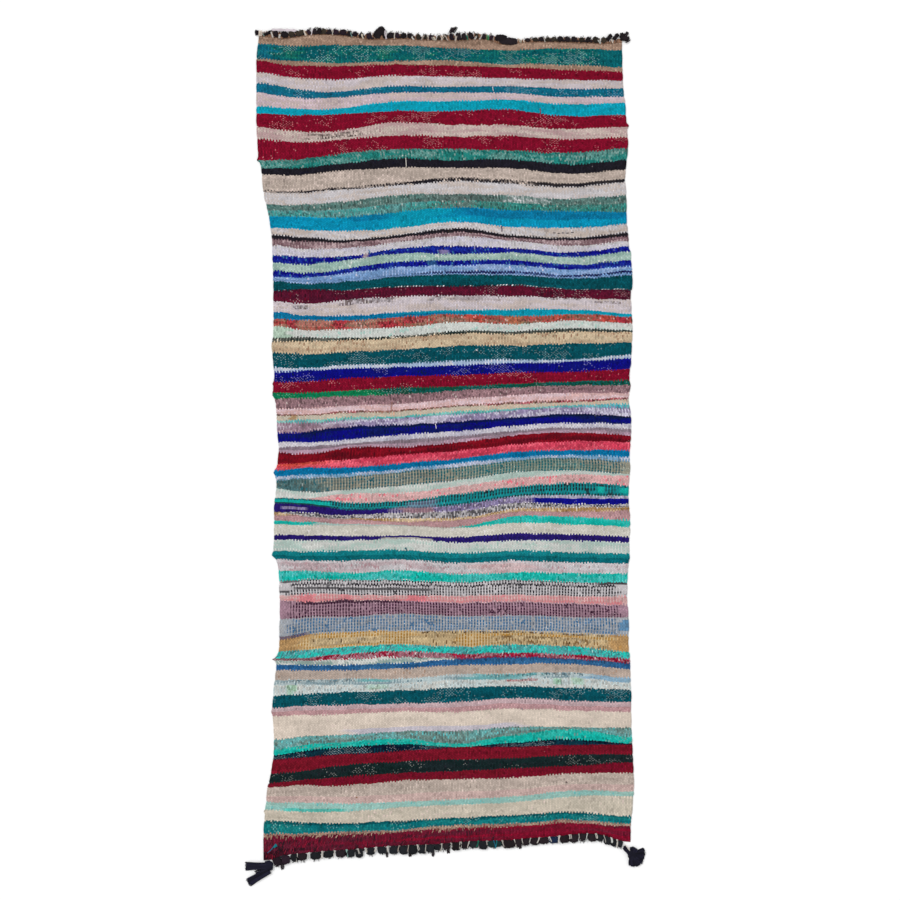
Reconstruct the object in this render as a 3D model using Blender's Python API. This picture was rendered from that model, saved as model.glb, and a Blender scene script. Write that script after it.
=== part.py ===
"""Boucherouite rug: a flat, weft-faced rag rug, knotted along both ends and tasselled at its corners.

The rug lies flat, face up. The plane z = 0 is its underside, +Y runs along its length towards the end
with the small knots, and +X is to the right as seen from above. The origin is under the middle of the
whole piece. Lengths are in metres.

The tables give places on the rug as it lies, in millimetres: `across` from the tip of the left-hand
tassel, and `down` from a line across the upper end.
"""

import math
from typing import NamedTuple

import bmesh
import bpy
import numpy as np

MM = 0.001

CLOTH_THICKNESS = 0.0050
GROOVE_DEPTH = 0.0007  # how far the line between two bands lies under their crests
GROOVE_TUCK = 0.8 * MM  # how far the selvedge draws in between two bands
PIECE_GAP = 0.0004

UPPER_KNOT_PITCH = 16.5  # mm from one small knot to the next
UPPER_KNOT_HEIGHT = 0.0085
LOWER_KNOT_HEIGHT = 0.0115
NECK_HEIGHT = 0.0040  # the wrapped warp ends between two knots
NECK_REACH = 0.45  # share of a knot's reach that the warp ends have
KNOT_FILL = 0.94  # share of the pitch that a knot's foot covers
KNOT_SECTIONS = (-0.5, -0.43, -0.26, 0.26, 0.43, 0.5)  # where a knot is cut, in shares of its width
KNOT_BLUNTNESS = 4.0  # the power that flattens a knot's crest
SECTION_STEP = 1.2  # mm, the least distance between two cuts
BULGE_ROOM = 0.9  # share of the space beside a bulge that is free of small knots

TASSEL_HEIGHT = 0.0120
SMALL_TASSEL_HEIGHT = 0.0090
TIE_HEIGHT = 0.0060
LOCK_WALL = 0.55  # share of a lock's height that its upright sides have
LOCK_ROOT_HEIGHT = 0.92  # share of the head's height that a lock's ridge starts at
LOCK_TIP_HEIGHT = 0.70  # share of the head's height that it keeps at its tip
LOCK_TIP_SLOPE = 0.08  # share of a lock's length over which its ridge falls to the tip

# Shares of the width. The bands are measured on the warp lines; the cloth has its columns of points on
# the cloth lines, which stand closer where its ends bend.
WARP_LINES = (0.015, 0.08, 0.20, 0.36, 0.52, 0.68, 0.84, 0.985)
CLOTH_LINES = (
    *(0.0, 0.025, 0.058, 0.105, 0.14, 0.2, 0.268, 0.311, 0.36, 0.405, 0.455, 0.5, 0.555),
    *(0.605, 0.665, 0.697, 0.717, 0.77, 0.82, 0.87, 0.892, 0.915, 0.94, 0.972, 1.0),
)

# The hump of a knot, cut across the row, in shares of its reach and its height.
KNOT_HUMP = ((0.0, 0.0), (0.0, 0.62), (0.25, 0.96), (0.62, 1.0), (1.0, 0.48), (0.94, 0.0))


class Band(NamedTuple):
    """A woven band: where its selvedges lie, and how far down its lower edge is on each warp line."""

    name: str
    left: float
    right: float
    on_1: float
    on_2: float
    on_3: float
    on_4: float
    on_5: float
    on_6: float
    on_7: float
    on_8: float

    @property
    def lower_edge(self):
        return self[3:]


class EndPoint(NamedTuple):
    """A place along one end: where the cloth stops, and where the knots beyond it stop."""

    across: float
    cloth: float
    knots: float


class Knot(NamedTuple):
    """A knot of the end finish: its middle and its width along the end."""

    across: float
    width: float


class Lock(NamedTuple):
    """A lock of yarn, from its root in the head to its free tip, with its width at both."""

    root_across: float
    root_down: float
    tip_across: float
    tip_down: float
    root_width: float
    tip_width: float


BANDS = (
    Band("camel", 41, 1131, 43, 47, 46, 46, 55, 61, 56, 61),
    Band("green", 36, 1132, 88, 92, 99, 95, 91, 103, 104, 113),
    Band("madder", 34, 1134, 128, 141, 149, 138, 140, 146, 151, 153),
    Band("lilac white", 34, 1134, 160, 173, 188, 169, 171, 169, 177, 176),
    Band("petrol", 34, 1136, 189, 201, 205, 189, 188, 190, 203, 200),
    Band("pink white", 34, 1140, 229, 235, 237, 216, 214, 209, 223, 219),
    Band("turquoise", 34, 1142, 250, 255, 254, 245, 245, 239, 260, 255),
    Band("madder", 34, 1145, 292, 302, 306, 279, 284, 287, 298, 291),
    Band("beige", 35, 1147, 326, 335, 333, 317, 321, 318, 328, 323),
    Band("madder", 38, 1150, 391, 391, 376, 357, 359, 362, 369, 355),
    Band("sea green", 47, 1148, 415, 415, 404, 386, 392, 388, 404, 391),
    Band("black", 49, 1144, 433, 436, 425, 414, 415, 415, 432, 421),
    Band("taupe", 52, 1141, 487, 490, 480, 467, 452, 460, 470, 455),
    Band("white", 58, 1143, 523, 525, 517, 496, 493, 496, 508, 496),
    Band("grey green", 68, 1146, 559, 561, 563, 547, 532, 541, 544, 546),
    Band("turquoise", 74, 1145, 594, 598, 604, 594, 576, 592, 594, 583),
    Band("white", 78, 1148, 614, 621, 630, 614, 595, 615, 624, 608),
    Band("mauve", 81, 1151, 646, 656, 656, 636, 619, 632, 648, 634),
    Band("white", 82, 1152, 676, 682, 680, 656, 648, 655, 667, 651),
    Band("royal blue", 82, 1153, 698, 704, 691, 671, 672, 668, 681, 666),
    Band("mint", 83, 1158, 720, 730, 717, 695, 691, 692, 704, 692),
    Band("blues", 84, 1161, 754, 762, 755, 739, 734, 737, 745, 738),
    Band("bottle green", 85, 1163, 782, 778, 780, 768, 767, 764, 778, 777),
    Band("plum", 85, 1157, 813, 821, 811, 800, 797, 798, 806, 809),
    Band("white", 85, 1159, 846, 856, 857, 846, 840, 838, 839, 851),
    Band("blue", 85, 1161, 868, 870, 871, 860, 852, 859, 853, 860),
    Band("red", 85, 1162, 889, 900, 898, 892, 876, 882, 872, 880),
    Band("mint white", 85, 1163, 934, 934, 930, 923, 910, 912, 904, 907),
    Band("cream", 80, 1162, 968, 973, 966, 958, 948, 946, 941, 938),
    Band("teal", 84, 1160, 1013, 1015, 1005, 1001, 991, 988, 990, 974),
    Band("royal blue", 87, 1159, 1056, 1055, 1046, 1038, 1035, 1027, 1025, 1017),
    Band("madder", 85, 1153, 1089, 1090, 1082, 1073, 1069, 1062, 1054, 1051),
    Band("green", 83, 1155, 1107, 1105, 1098, 1094, 1081, 1072, 1066, 1066),
    Band("mauve", 93, 1155, 1136, 1136, 1127, 1120, 1105, 1096, 1088, 1089),
    Band("pinks", 95, 1152, 1172, 1170, 1163, 1158, 1144, 1136, 1125, 1123),
    Band("lavender", 96, 1157, 1210, 1205, 1190, 1184, 1174, 1163, 1151, 1159),
    Band("royal blue", 98, 1159, 1235, 1237, 1228, 1213, 1202, 1186, 1179, 1182),
    Band("lavender", 101, 1159, 1268, 1272, 1252, 1250, 1235, 1216, 1207, 1216),
    Band("oxblood", 99, 1158, 1302, 1296, 1288, 1273, 1261, 1242, 1233, 1236),
    Band("coral", 95, 1156, 1320, 1313, 1312, 1299, 1286, 1266, 1260, 1261),
    Band("blue", 88, 1154, 1350, 1345, 1341, 1325, 1311, 1291, 1284, 1295),
    Band("green check", 95, 1156, 1375, 1386, 1380, 1367, 1351, 1326, 1322, 1331),
    Band("mint and pink", 91, 1154, 1405, 1406, 1417, 1413, 1391, 1372, 1357, 1365),
    Band("navy and teal", 87, 1151, 1446, 1448, 1455, 1448, 1443, 1420, 1423, 1423),
    Band("ochre and aqua", 87, 1155, 1483, 1484, 1485, 1486, 1492, 1479, 1482, 1490),
    Band("cream", 87, 1155, 1515, 1516, 1518, 1516, 1521, 1510, 1513, 1519),
    Band("navy", 87, 1153, 1530, 1530, 1531, 1526, 1537, 1531, 1532, 1536),
    Band("mint", 86, 1153, 1563, 1563, 1562, 1559, 1568, 1562, 1566, 1570),
    Band("teal", 84, 1154, 1587, 1592, 1591, 1588, 1598, 1592, 1598, 1601),
    Band("pale pink", 99, 1149, 1622, 1622, 1629, 1621, 1632, 1626, 1629, 1631),
    Band("aqua", 102, 1148, 1652, 1648, 1649, 1650, 1657, 1649, 1657, 1657),
    Band("black check", 103, 1147, 1698, 1692, 1694, 1696, 1696, 1694, 1698, 1698),
    Band("plum check", 105, 1148, 1767, 1761, 1759, 1751, 1759, 1755, 1761, 1761),
    Band("blue check", 103, 1152, 1829, 1815, 1805, 1802, 1803, 1802, 1810, 1817),
    Band("ochre check", 103, 1150, 1864, 1860, 1850, 1843, 1850, 1843, 1849, 1866),
    Band("aqua", 98, 1155, 1886, 1884, 1871, 1863, 1871, 1868, 1874, 1886),
    Band("blue", 93, 1156, 1921, 1921, 1920, 1914, 1905, 1902, 1902, 1917),
    Band("taupe", 91, 1156, 1950, 1949, 1946, 1946, 1933, 1929, 1928, 1944),
    Band("mint white", 85, 1157, 1998, 1993, 1986, 1981, 1973, 1967, 1973, 1977),
    Band("teal", 83, 1160, 2032, 2028, 2024, 2020, 2015, 2003, 2012, 2017),
    Band("pink", 79, 1158, 2059, 2056, 2051, 2045, 2045, 2036, 2041, 2044),
    Band("cream", 86, 1159, 2129, 2119, 2114, 2104, 2101, 2090, 2091, 2092),
    Band("aquas", 86, 1162, 2178, 2167, 2156, 2144, 2150, 2139, 2133, 2139),
    Band("madder", 81, 1163, 2229, 2224, 2205, 2194, 2187, 2183, 2173, 2173),
    Band("green black", 74, 1164, 2259, 2251, 2241, 2229, 2222, 2215, 2207, 2195),
    Band("madder", 69, 1166, 2272, 2266, 2266, 2252, 2246, 2243, 2230, 2228),
    Band("taupe", 65, 1167, 2315, 2315, 2319, 2315, 2307, 2298, 2280, 2284),
    Band("pale aqua", 62, 1167, 2339, 2343, 2345, 2332, 2323, 2316, 2298, 2297),
    Band("beige", 60, 1163, 2372, 2375, 2379, 2372, 2363, 2355, 2345, 2359),
    Band("teal", 56, 1158, 2411, 2411, 2406, 2400, 2384, 2380, 2368, 2382),
)
LAST_BAND_LEFT = 56
LAST_BAND_RIGHT = 1158

UPPER_END = (
    EndPoint(39, 16, 2),
    EndPoint(81, 21, -1),
    EndPoint(117, 25, 0),
    EndPoint(156, 20, 2),
    EndPoint(192, 14, -5),
    EndPoint(222, 13, -7),
    EndPoint(258, 13, -5),
    EndPoint(297, 17, -2),
    EndPoint(333, 20, 4),
    EndPoint(357, 25, 9),
    EndPoint(380, 29, 6),
    EndPoint(400, 28, -7),
    EndPoint(411, 27, -7),
    EndPoint(426, 26, 3),
    EndPoint(480, 25, 6),
    EndPoint(528, 29, 11),
    EndPoint(585, 30, 13),
    EndPoint(645, 31, 6),
    EndPoint(684, 27, 6),
    EndPoint(723, 27, 10),
    EndPoint(747, 33, 11),
    EndPoint(765, 42, 14),
    EndPoint(801, 43, 21),
    EndPoint(822, 36, 24),
    EndPoint(894, 35, 19),
    EndPoint(954, 36, 19),
    EndPoint(1041, 38, 20),
    EndPoint(1068, 40, 21),
    EndPoint(1098, 39, 23),
    EndPoint(1132, 35, 24),
)
UPPER_ROW = (46, 1118)  # where the small knots begin and end
UPPER_SPAN = (44, 1122.6)  # where their whole strip begins and ends
UPPER_BULGES = (Knot(405, 34), Knot(781, 66))  # the tall bulge and the long one, in place of small knots

LOWER_END = (
    EndPoint(55, 2491, 2514),
    EndPoint(84, 2488, 2514),
    EndPoint(117, 2474, 2503),
    EndPoint(174, 2470, 2496),
    EndPoint(213, 2465, 2492),
    EndPoint(252, 2462, 2487),
    EndPoint(318, 2458, 2483),
    EndPoint(378, 2453, 2479),
    EndPoint(411, 2449, 2473),
    EndPoint(504, 2445, 2472),
    EndPoint(582, 2442, 2466),
    EndPoint(633, 2437, 2459),
    EndPoint(687, 2433, 2457),
    EndPoint(792, 2431, 2455),
    EndPoint(840, 2425, 2447),
    EndPoint(897, 2422, 2442),
    EndPoint(960, 2416, 2439),
    EndPoint(1014, 2411, 2438),
    EndPoint(1038, 2410, 2433),
    EndPoint(1065, 2412, 2437),
    EndPoint(1089, 2420, 2443),
    EndPoint(1128, 2433, 2456),
    EndPoint(1160, 2436, 2458),
)
LOWER_KNOTS = (
    Knot(99, 22),
    Knot(124, 24),
    Knot(149, 22),
    Knot(174, 24),
    Knot(212, 28),
    Knot(251, 28),
    Knot(287, 26),
    Knot(317, 24),
    Knot(343, 22),
    Knot(377, 26),
    Knot(411, 26),
    Knot(447, 26),
    Knot(476, 26),
    Knot(504, 24),
    Knot(531, 24),
    Knot(557, 24),
    Knot(581, 22),
    Knot(603, 20),
    Knot(633, 26),
    Knot(660, 24),
    Knot(687, 24),
    Knot(713, 24),
    Knot(748, 40),
    Knot(791, 34),
    Knot(819, 22),
    Knot(842, 22),
    Knot(870, 26),
    Knot(897, 24),
    Knot(927, 28),
    Knot(959, 28),
    Knot(987, 24),
    Knot(1014, 26),
    Knot(1040, 22),
    Knot(1064, 24),
    Knot(1088, 20),
    Knot(1107, 16),
    Knot(1124, 16),
)
LOWER_SPAN = (84.9, 1135)
LOOSE_ENDS = (Knot(424, 5), Knot(494, 4), Knot(563, 6), Knot(610, 4), Knot(825, 4))
LOOSE_END_REACH = 0.0130  # how far a loose end hangs out past the knots

# The heads and the locks follow the outline of each tassel clockwise, as seen from above.
LOWER_LEFT_HEAD = ((57, 2491.6), (70, 2490.2), (84.5, 2488.4), (84.5, 2521), (77, 2528))
LOWER_LEFT_LOCKS = (
    Lock(71, 2526, 23, 2560, 4.6, 5.0),
    Lock(66, 2523, 16, 2558, 4.6, 5.4),
    Lock(62, 2519.5, 9, 2553, 4.6, 5.0),
    Lock(57, 2515.5, 1, 2520, 4.2, 4.6),
    Lock(57, 2511, 2, 2515, 4.2, 4.6),
    Lock(57, 2506.5, 0, 2509, 4.2, 4.8),
    Lock(57, 2502, 1, 2503, 4.2, 4.8),
    Lock(57, 2497.5, 0, 2497, 4.2, 4.6),
)

LOWER_RIGHT_HEAD = ((1151, 2484), (1143, 2471), (1135.4, 2460), (1135.4, 2438), (1143, 2442), (1153, 2455))
LOWER_RIGHT_LOCKS = (
    Lock(1161.8, 2459.0, 1161, 2448, 6.0, 8.0),
    Lock(1169.4, 2460.2, 1174, 2454, 6.0, 7.0),
    Lock(1175.6, 2464.6, 1199, 2458, 6.0, 8.0),
    Lock(1179.0, 2470.2, 1202, 2468, 6.0, 8.0),
    Lock(1180.0, 2476.6, 1199, 2479, 6.0, 8.0),
    Lock(1178.5, 2482.9, 1196, 2490, 6.0, 8.0),
    Lock(1174.8, 2488.2, 1191, 2501, 6.0, 8.0),
    Lock(1169.4, 2491.8, 1181, 2509, 6.0, 8.0),
    Lock(1162.4, 2493.0, 1168, 2510, 6.0, 8.0),
    Lock(1155.0, 2489.5, 1157, 2509, 5.4, 6.0),
)

UPPER_RIGHT_HEAD = ((1138, 35.5), (1131.6, 34.6), (1123, 35.6), (1123, 26), (1125, 20))
UPPER_RIGHT_LOCKS = (
    Lock(1129.0, 18.0, 1128.5, 7.5, 6.6, 7.0),
    Lock(1136.5, 17.0, 1139, 9, 6.0, 6.0),
    Lock(1143.0, 19.0, 1149, 6, 6.0, 7.0),
    Lock(1146.0, 26.0, 1154, 24, 6.0, 5.0),
    Lock(1144.0, 32.5, 1151, 34, 5.0, 4.0),
)

UPPER_LEFT_HEAD = ((43.5, 6), (43.5, 15.6), (40.4, 15.4))
UPPER_LEFT_LOCKS = (Lock(38, 12, 30, 13, 6.6, 7.0), Lock(38, 5, 29.5, 3, 6.0, 6.0))

UPPER_MIDDLE_HEAD = ((630, 7.7), (618, 9.25), (612.4, 9.85), (611, 5))
UPPER_MIDDLE_LOCKS = (Lock(616, 4, 624, -9, 7.0, 6.0), Lock(627, 3, 635, -10, 6.0, 6.0))

MIDDLE_ACROSS = 601.1
MIDDLE_DOWN = 1275.2


def place(across, down):
    """Turn a place on the rug, in millimetres, into x and y in metres."""
    return (across - MIDDLE_ACROSS) * MM, (MIDDLE_DOWN - down) * MM


def principled(name, colour, roughness):
    """Make a plain fibre material."""
    material = bpy.data.materials.new(name)
    material.use_nodes = True
    shader = material.node_tree.nodes["Principled BSDF"]
    shader.inputs["Base Color"].default_value = (*colour, 1.0)
    shader.inputs["Roughness"].default_value = roughness
    shader.inputs["Metallic"].default_value = 0.0
    return material


def add_object(name, vertices, faces, material):
    """Make one named object from vertices and faces, with every face turned outwards."""
    mesh = bpy.data.meshes.new(name)
    mesh.from_pydata([tuple(map(float, vertex)) for vertex in vertices], [], faces)
    shape = bmesh.new()
    shape.from_mesh(mesh)
    bmesh.ops.recalc_face_normals(shape, faces=shape.faces)
    shape.to_mesh(mesh)
    shape.free()
    mesh.materials.append(material)
    rug_piece = bpy.data.objects.new(name, mesh)
    bpy.context.scene.collection.objects.link(rug_piece)
    return rug_piece


def along_warps(shares, heights):
    """Read a smooth curve through the heights on the warp lines, at other shares of the width."""
    lines = np.array(WARP_LINES)
    heights = np.array(heights, dtype=float)
    slopes = np.gradient(heights, lines)
    span = np.clip(np.searchsorted(lines, shares) - 1, 0, len(lines) - 2)
    width = lines[span + 1] - lines[span]
    t = np.clip((shares - lines[span]) / width, 0.0, 1.0)
    start = (1 + 2 * t) * (1 - t) ** 2 * heights[span] + t * (1 - t) ** 2 * width * slopes[span]
    stop = t**2 * (3 - 2 * t) * heights[span + 1] - t**2 * (1 - t) * width * slopes[span + 1]
    return start + stop


def end_line(points, column, across):
    """Read the cloth's or the knots' line along one end, which runs straight from point to point."""
    places = [point.across for point in points]
    return np.interp(across, places, [getattr(point, column) for point in points])


def cloth_rows():
    """Work out the rows of the upper face: a crest along each band and a groove between two bands.

    Returns one tuple for each row, with its places across and down and its height.
    """
    shares = np.array(CLOTH_LINES)
    edges = [np.array(along_warps(shares, band.lower_edge)) for band in BANDS]
    lefts = [band.left for band in BANDS] + [LAST_BAND_LEFT]
    rights = [band.right for band in BANDS] + [LAST_BAND_RIGHT]

    def across(left, right):
        return left + shares * (right - left)

    crest = CLOTH_THICKNESS
    groove = CLOTH_THICKNESS - GROOVE_DEPTH
    tuck = GROOVE_TUCK / MM
    first = across(lefts[0], rights[0])
    last = across(lefts[-1], rights[-1])
    edges = [end_line(UPPER_END, "cloth", first)] + edges + [end_line(LOWER_END, "cloth", last)]
    rows = [(first, edges[0], groove)]
    for index in range(len(edges) - 1):
        rows.append((across(lefts[index], rights[index]), (edges[index] + edges[index + 1]) / 2, crest))
        if index + 2 < len(edges):
            left = (lefts[index] + lefts[index + 1]) / 2 + tuck
            right = (rights[index] + rights[index + 1]) / 2 - tuck
            rows.append((across(left, right), edges[index + 1], groove))
    rows.append((last, edges[-1], groove))
    return rows


def make_cloth(rows):
    """Make the cloth as one slab, ribbed above by its bands and flat below."""
    columns = len(CLOTH_LINES)
    vertices = []
    for across, down, height in rows:
        x, y = place(across, down)
        vertices += [(x[column], y[column], height) for column in range(columns)]
    faces = []
    for row in range(len(rows) - 1):
        for column in range(columns - 1):
            corner = row * columns + column
            faces.append((corner, corner + 1, corner + columns + 1, corner + columns))
    last = (len(rows) - 1) * columns
    rim = list(range(columns))
    rim += [row * columns + columns - 1 for row in range(1, len(rows))]
    rim += [last + column for column in range(columns - 2, -1, -1)]
    rim += [row * columns for row in range(len(rows) - 2, 0, -1)]
    first_below = len(vertices)
    vertices += [(vertices[index][0], vertices[index][1], 0.0) for index in rim]
    below = list(range(first_below, first_below + len(rim)))
    for index in range(len(rim)):
        after = (index + 1) % len(rim)
        faces.append((rim[index], rim[after], below[after], below[index]))
    faces.append(tuple(below))
    cloth = add_object("rug_cloth", vertices, faces, principled("rag_cloth", (0.42, 0.36, 0.36), 0.95))
    cloth.data.shade_smooth()
    cloth.data.set_sharp_from_angle(angle=math.radians(40))


def knot_swell(across, knots):
    """Tell how full the row of knots is at a place: 1 on a knot's crest, and 0 in the neck between two."""
    full = 0.0
    for knot in knots:
        offset = abs(across - knot.across) / (knot.width * KNOT_FILL / 2)
        if offset < 1.0:
            full = max(full, math.sqrt(1.0 - offset**KNOT_BLUNTNESS))
    return full


def make_knot_edge(name, points, knots, span, column_line, height, outward, loose_ends=()):
    """Make one row of knots as a single body beside the cloth's end.

    Its inner side keeps the piece gap from the cloth. Each section across the row is a rounded hump on
    a flat foot, taller and longer on a knot than in the necks between knots.
    """
    places = {span[0], span[1]}
    for knot in knots:
        places.update(knot.across + share * knot.width for share in KNOT_SECTIONS)
    for end in loose_ends:
        places.update((end.across - end.width / 2, end.across, end.across + end.width / 2))
    places.update(float(across) for across in column_line[0])
    places = sorted(across for across in places if span[0] <= across <= span[1])
    sections = [places[0]]
    for across in places[1:]:
        if across - sections[-1] > SECTION_STEP or across in column_line[0]:
            sections.append(across)

    vertices = []
    for across in sections:
        full = knot_swell(across, knots)
        inner = float(np.interp(across, *column_line))
        reach = abs(float(end_line(points, "knots", across)) - inner) * MM - PIECE_GAP
        reach *= NECK_REACH + (1.0 - NECK_REACH) * full
        tall = NECK_HEIGHT + (height - NECK_HEIGHT) * full
        if any(abs(across - end.across) < 0.01 for end in loose_ends):
            reach += LOOSE_END_REACH
        x, y = place(across, inner)
        y += outward * PIECE_GAP
        vertices += [(x, y + outward * share * reach, rise * tall) for share, rise in KNOT_HUMP]
    ring = len(KNOT_HUMP)
    faces = []
    for section in range(len(sections) - 1):
        for point in range(ring):
            after = (point + 1) % ring
            start = section * ring
            faces.append((start + point, start + after, start + ring + after, start + ring + point))
    faces.append(tuple(range(ring)))
    faces.append(tuple(range(len(vertices) - ring, len(vertices))))
    row = add_object(name, vertices, faces, principled(name + "_wool", (0.018, 0.016, 0.022), 0.9))
    row.data.shade_smooth()
    row.data.set_sharp_from_angle(angle=math.radians(60))


def upper_knots():
    """Space the small knots evenly, and leave out those that stand where a bulge is."""
    count = round((UPPER_ROW[1] - UPPER_ROW[0]) / UPPER_KNOT_PITCH)
    pitch = (UPPER_ROW[1] - UPPER_ROW[0]) / count
    knots = [Knot(UPPER_ROW[0] + (index + 0.5) * pitch, pitch) for index in range(count)]
    for bulge in UPPER_BULGES:
        room = (bulge.width + pitch) / 2
        knots = [knot for knot in knots if abs(knot.across - bulge.across) > room * BULGE_ROOM]
    return tuple(knots) + UPPER_BULGES


def make_tassel(name, head, locks, height, colour):
    """Make a tassel as one body: a domed head with separate locks that fan out from it.

    The head's own points and the locks follow its outline in order. Each lock is four-sided, lies on
    its flat underside, and is fused to the head at its root.
    """
    outline = [place(across, down) for across, down in head]
    fingers = []
    for lock in locks:
        root = np.array(place(lock.root_across, lock.root_down))
        tip = np.array(place(lock.tip_across, lock.tip_down))
        side = np.array((tip[1] - root[1], root[0] - tip[0]))
        side /= np.hypot(*side)
        first = len(outline)
        for foot, width, sign in (
            (root, lock.root_width, -1),
            (tip, lock.tip_width, -1),
            (tip, lock.tip_width, 1),
            (root, lock.root_width, 1),
        ):
            outline.append(tuple(foot + sign * side * width * MM / 2))
        fingers.append((first, root, tip))
    count = len(outline)
    wall = height * LOCK_WALL
    vertices = [(x, y, 0.0) for x, y in outline]
    vertices += [(x, y, wall) for x, y in outline]
    core = outline[: len(head)] + [tuple(root) for _, root, _ in fingers]
    middle = np.mean(core, axis=0)
    apex = len(vertices)
    vertices.append((middle[0], middle[1], height))
    faces = [tuple(range(count))]
    for point in range(count):
        after = (point + 1) % count
        faces.append((point, after, count + after, count + point))
    rim = [count + point for point in range(len(head))]
    for first, root, tip in fingers:
        ridge_root = len(vertices)
        ridge_tip = ridge_root + 1
        vertices.append((root[0], root[1], height * LOCK_ROOT_HEIGHT))
        inside = tip + (root - tip) * LOCK_TIP_SLOPE
        vertices.append((inside[0], inside[1], height * LOCK_TIP_HEIGHT))
        near, far, far_end, near_end = (count + first + step for step in range(4))
        faces.append((near, far, ridge_tip, ridge_root))
        faces.append((far, far_end, ridge_tip))
        faces.append((far_end, near_end, ridge_root, ridge_tip))
        rim += [near, ridge_root, near_end]
    for index, point in enumerate(rim):
        faces.append((point, rim[(index + 1) % len(rim)], apex))
    tassel = add_object(name, vertices, faces, principled(name + "_yarn", colour, 0.9))
    tassel.data.shade_smooth()
    tassel.data.set_sharp_from_angle(angle=math.radians(30))


def make_rug():
    """Make every piece of the rug."""
    rows = cloth_rows()
    make_cloth(rows)
    line = rows[0][:2]
    make_knot_edge("upper_knot_edge", UPPER_END, upper_knots(), UPPER_SPAN, line, UPPER_KNOT_HEIGHT, 1)
    line = rows[-1][:2]
    size = (LOWER_SPAN, line, LOWER_KNOT_HEIGHT)
    make_knot_edge("lower_knot_edge", LOWER_END, LOWER_KNOTS, *size, -1, LOOSE_ENDS)
    black = (0.018, 0.018, 0.026)
    make_tassel("lower_left_tassel", LOWER_LEFT_HEAD, LOWER_LEFT_LOCKS, TASSEL_HEIGHT, black)
    make_tassel("lower_right_tassel", LOWER_RIGHT_HEAD, LOWER_RIGHT_LOCKS, TASSEL_HEIGHT, black)
    make_tassel("upper_right_tassel", UPPER_RIGHT_HEAD, UPPER_RIGHT_LOCKS, SMALL_TASSEL_HEIGHT, black)
    make_tassel("upper_left_tie", UPPER_LEFT_HEAD, UPPER_LEFT_LOCKS, TIE_HEIGHT, black)
    make_tassel("upper_middle_tie", UPPER_MIDDLE_HEAD, UPPER_MIDDLE_LOCKS, TIE_HEIGHT, black)


for leftover in list(bpy.data.objects):
    bpy.data.objects.remove(leftover, do_unlink=True)
make_rug()
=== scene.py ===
"""Boucherouite rug: a flat-woven rag rug with knotted ends and tasselled corners, seen from straight above.

The tables give places on the rug as it lies, in millimetres: `across` from the tip of the left-hand
tassel and `down` from a line across the upper end. They name yarns and looks in strings. Meshes are in
metres: +X is across, +Y is up the rug and +Z stands out of its face, with the floor at z = 0.
"""

import logging
import math
from dataclasses import dataclass, field
from enum import Enum
from functools import partialmethod
from typing import Any, Iterable, NamedTuple, Sequence, TypeVar

import bpy
import numpy as np
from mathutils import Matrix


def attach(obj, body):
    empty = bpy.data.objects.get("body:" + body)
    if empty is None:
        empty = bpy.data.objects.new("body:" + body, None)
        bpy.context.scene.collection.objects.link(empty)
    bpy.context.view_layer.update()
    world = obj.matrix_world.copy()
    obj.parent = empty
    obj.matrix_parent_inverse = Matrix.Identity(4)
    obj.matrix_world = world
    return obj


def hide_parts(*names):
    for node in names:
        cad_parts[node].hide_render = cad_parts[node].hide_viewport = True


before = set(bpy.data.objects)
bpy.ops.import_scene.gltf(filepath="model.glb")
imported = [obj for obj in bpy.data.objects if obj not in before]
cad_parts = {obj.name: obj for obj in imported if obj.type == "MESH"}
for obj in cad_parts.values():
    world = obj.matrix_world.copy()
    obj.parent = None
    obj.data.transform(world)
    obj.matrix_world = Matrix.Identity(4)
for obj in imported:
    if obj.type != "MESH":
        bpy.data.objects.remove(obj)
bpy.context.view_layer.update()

LOG = logging.getLogger("rug")
Array = np.ndarray
Colour = tuple[float, float, float]
Row = TypeVar("Row", bound=tuple)

MM = 0.001
MIDDLE_ACROSS, MIDDLE_DOWN = 601.1, 1275.2  # the place over which x and y are 0, in mm
CLOTH_WIDTH = 1075.0  # mm, for the counts of warps and columns
WARP_SPACING = 4.5  # mm between two warps
PICK_SPACING = 3.75  # mm between two passes of weft
CHECK_SPACING = 4.6  # the same in the checked bands, which have thicker rags
WARP_LINES = (0.015, 0.08, 0.20, 0.36, 0.52, 0.68, 0.84, 0.985)  # shares of the width


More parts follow.
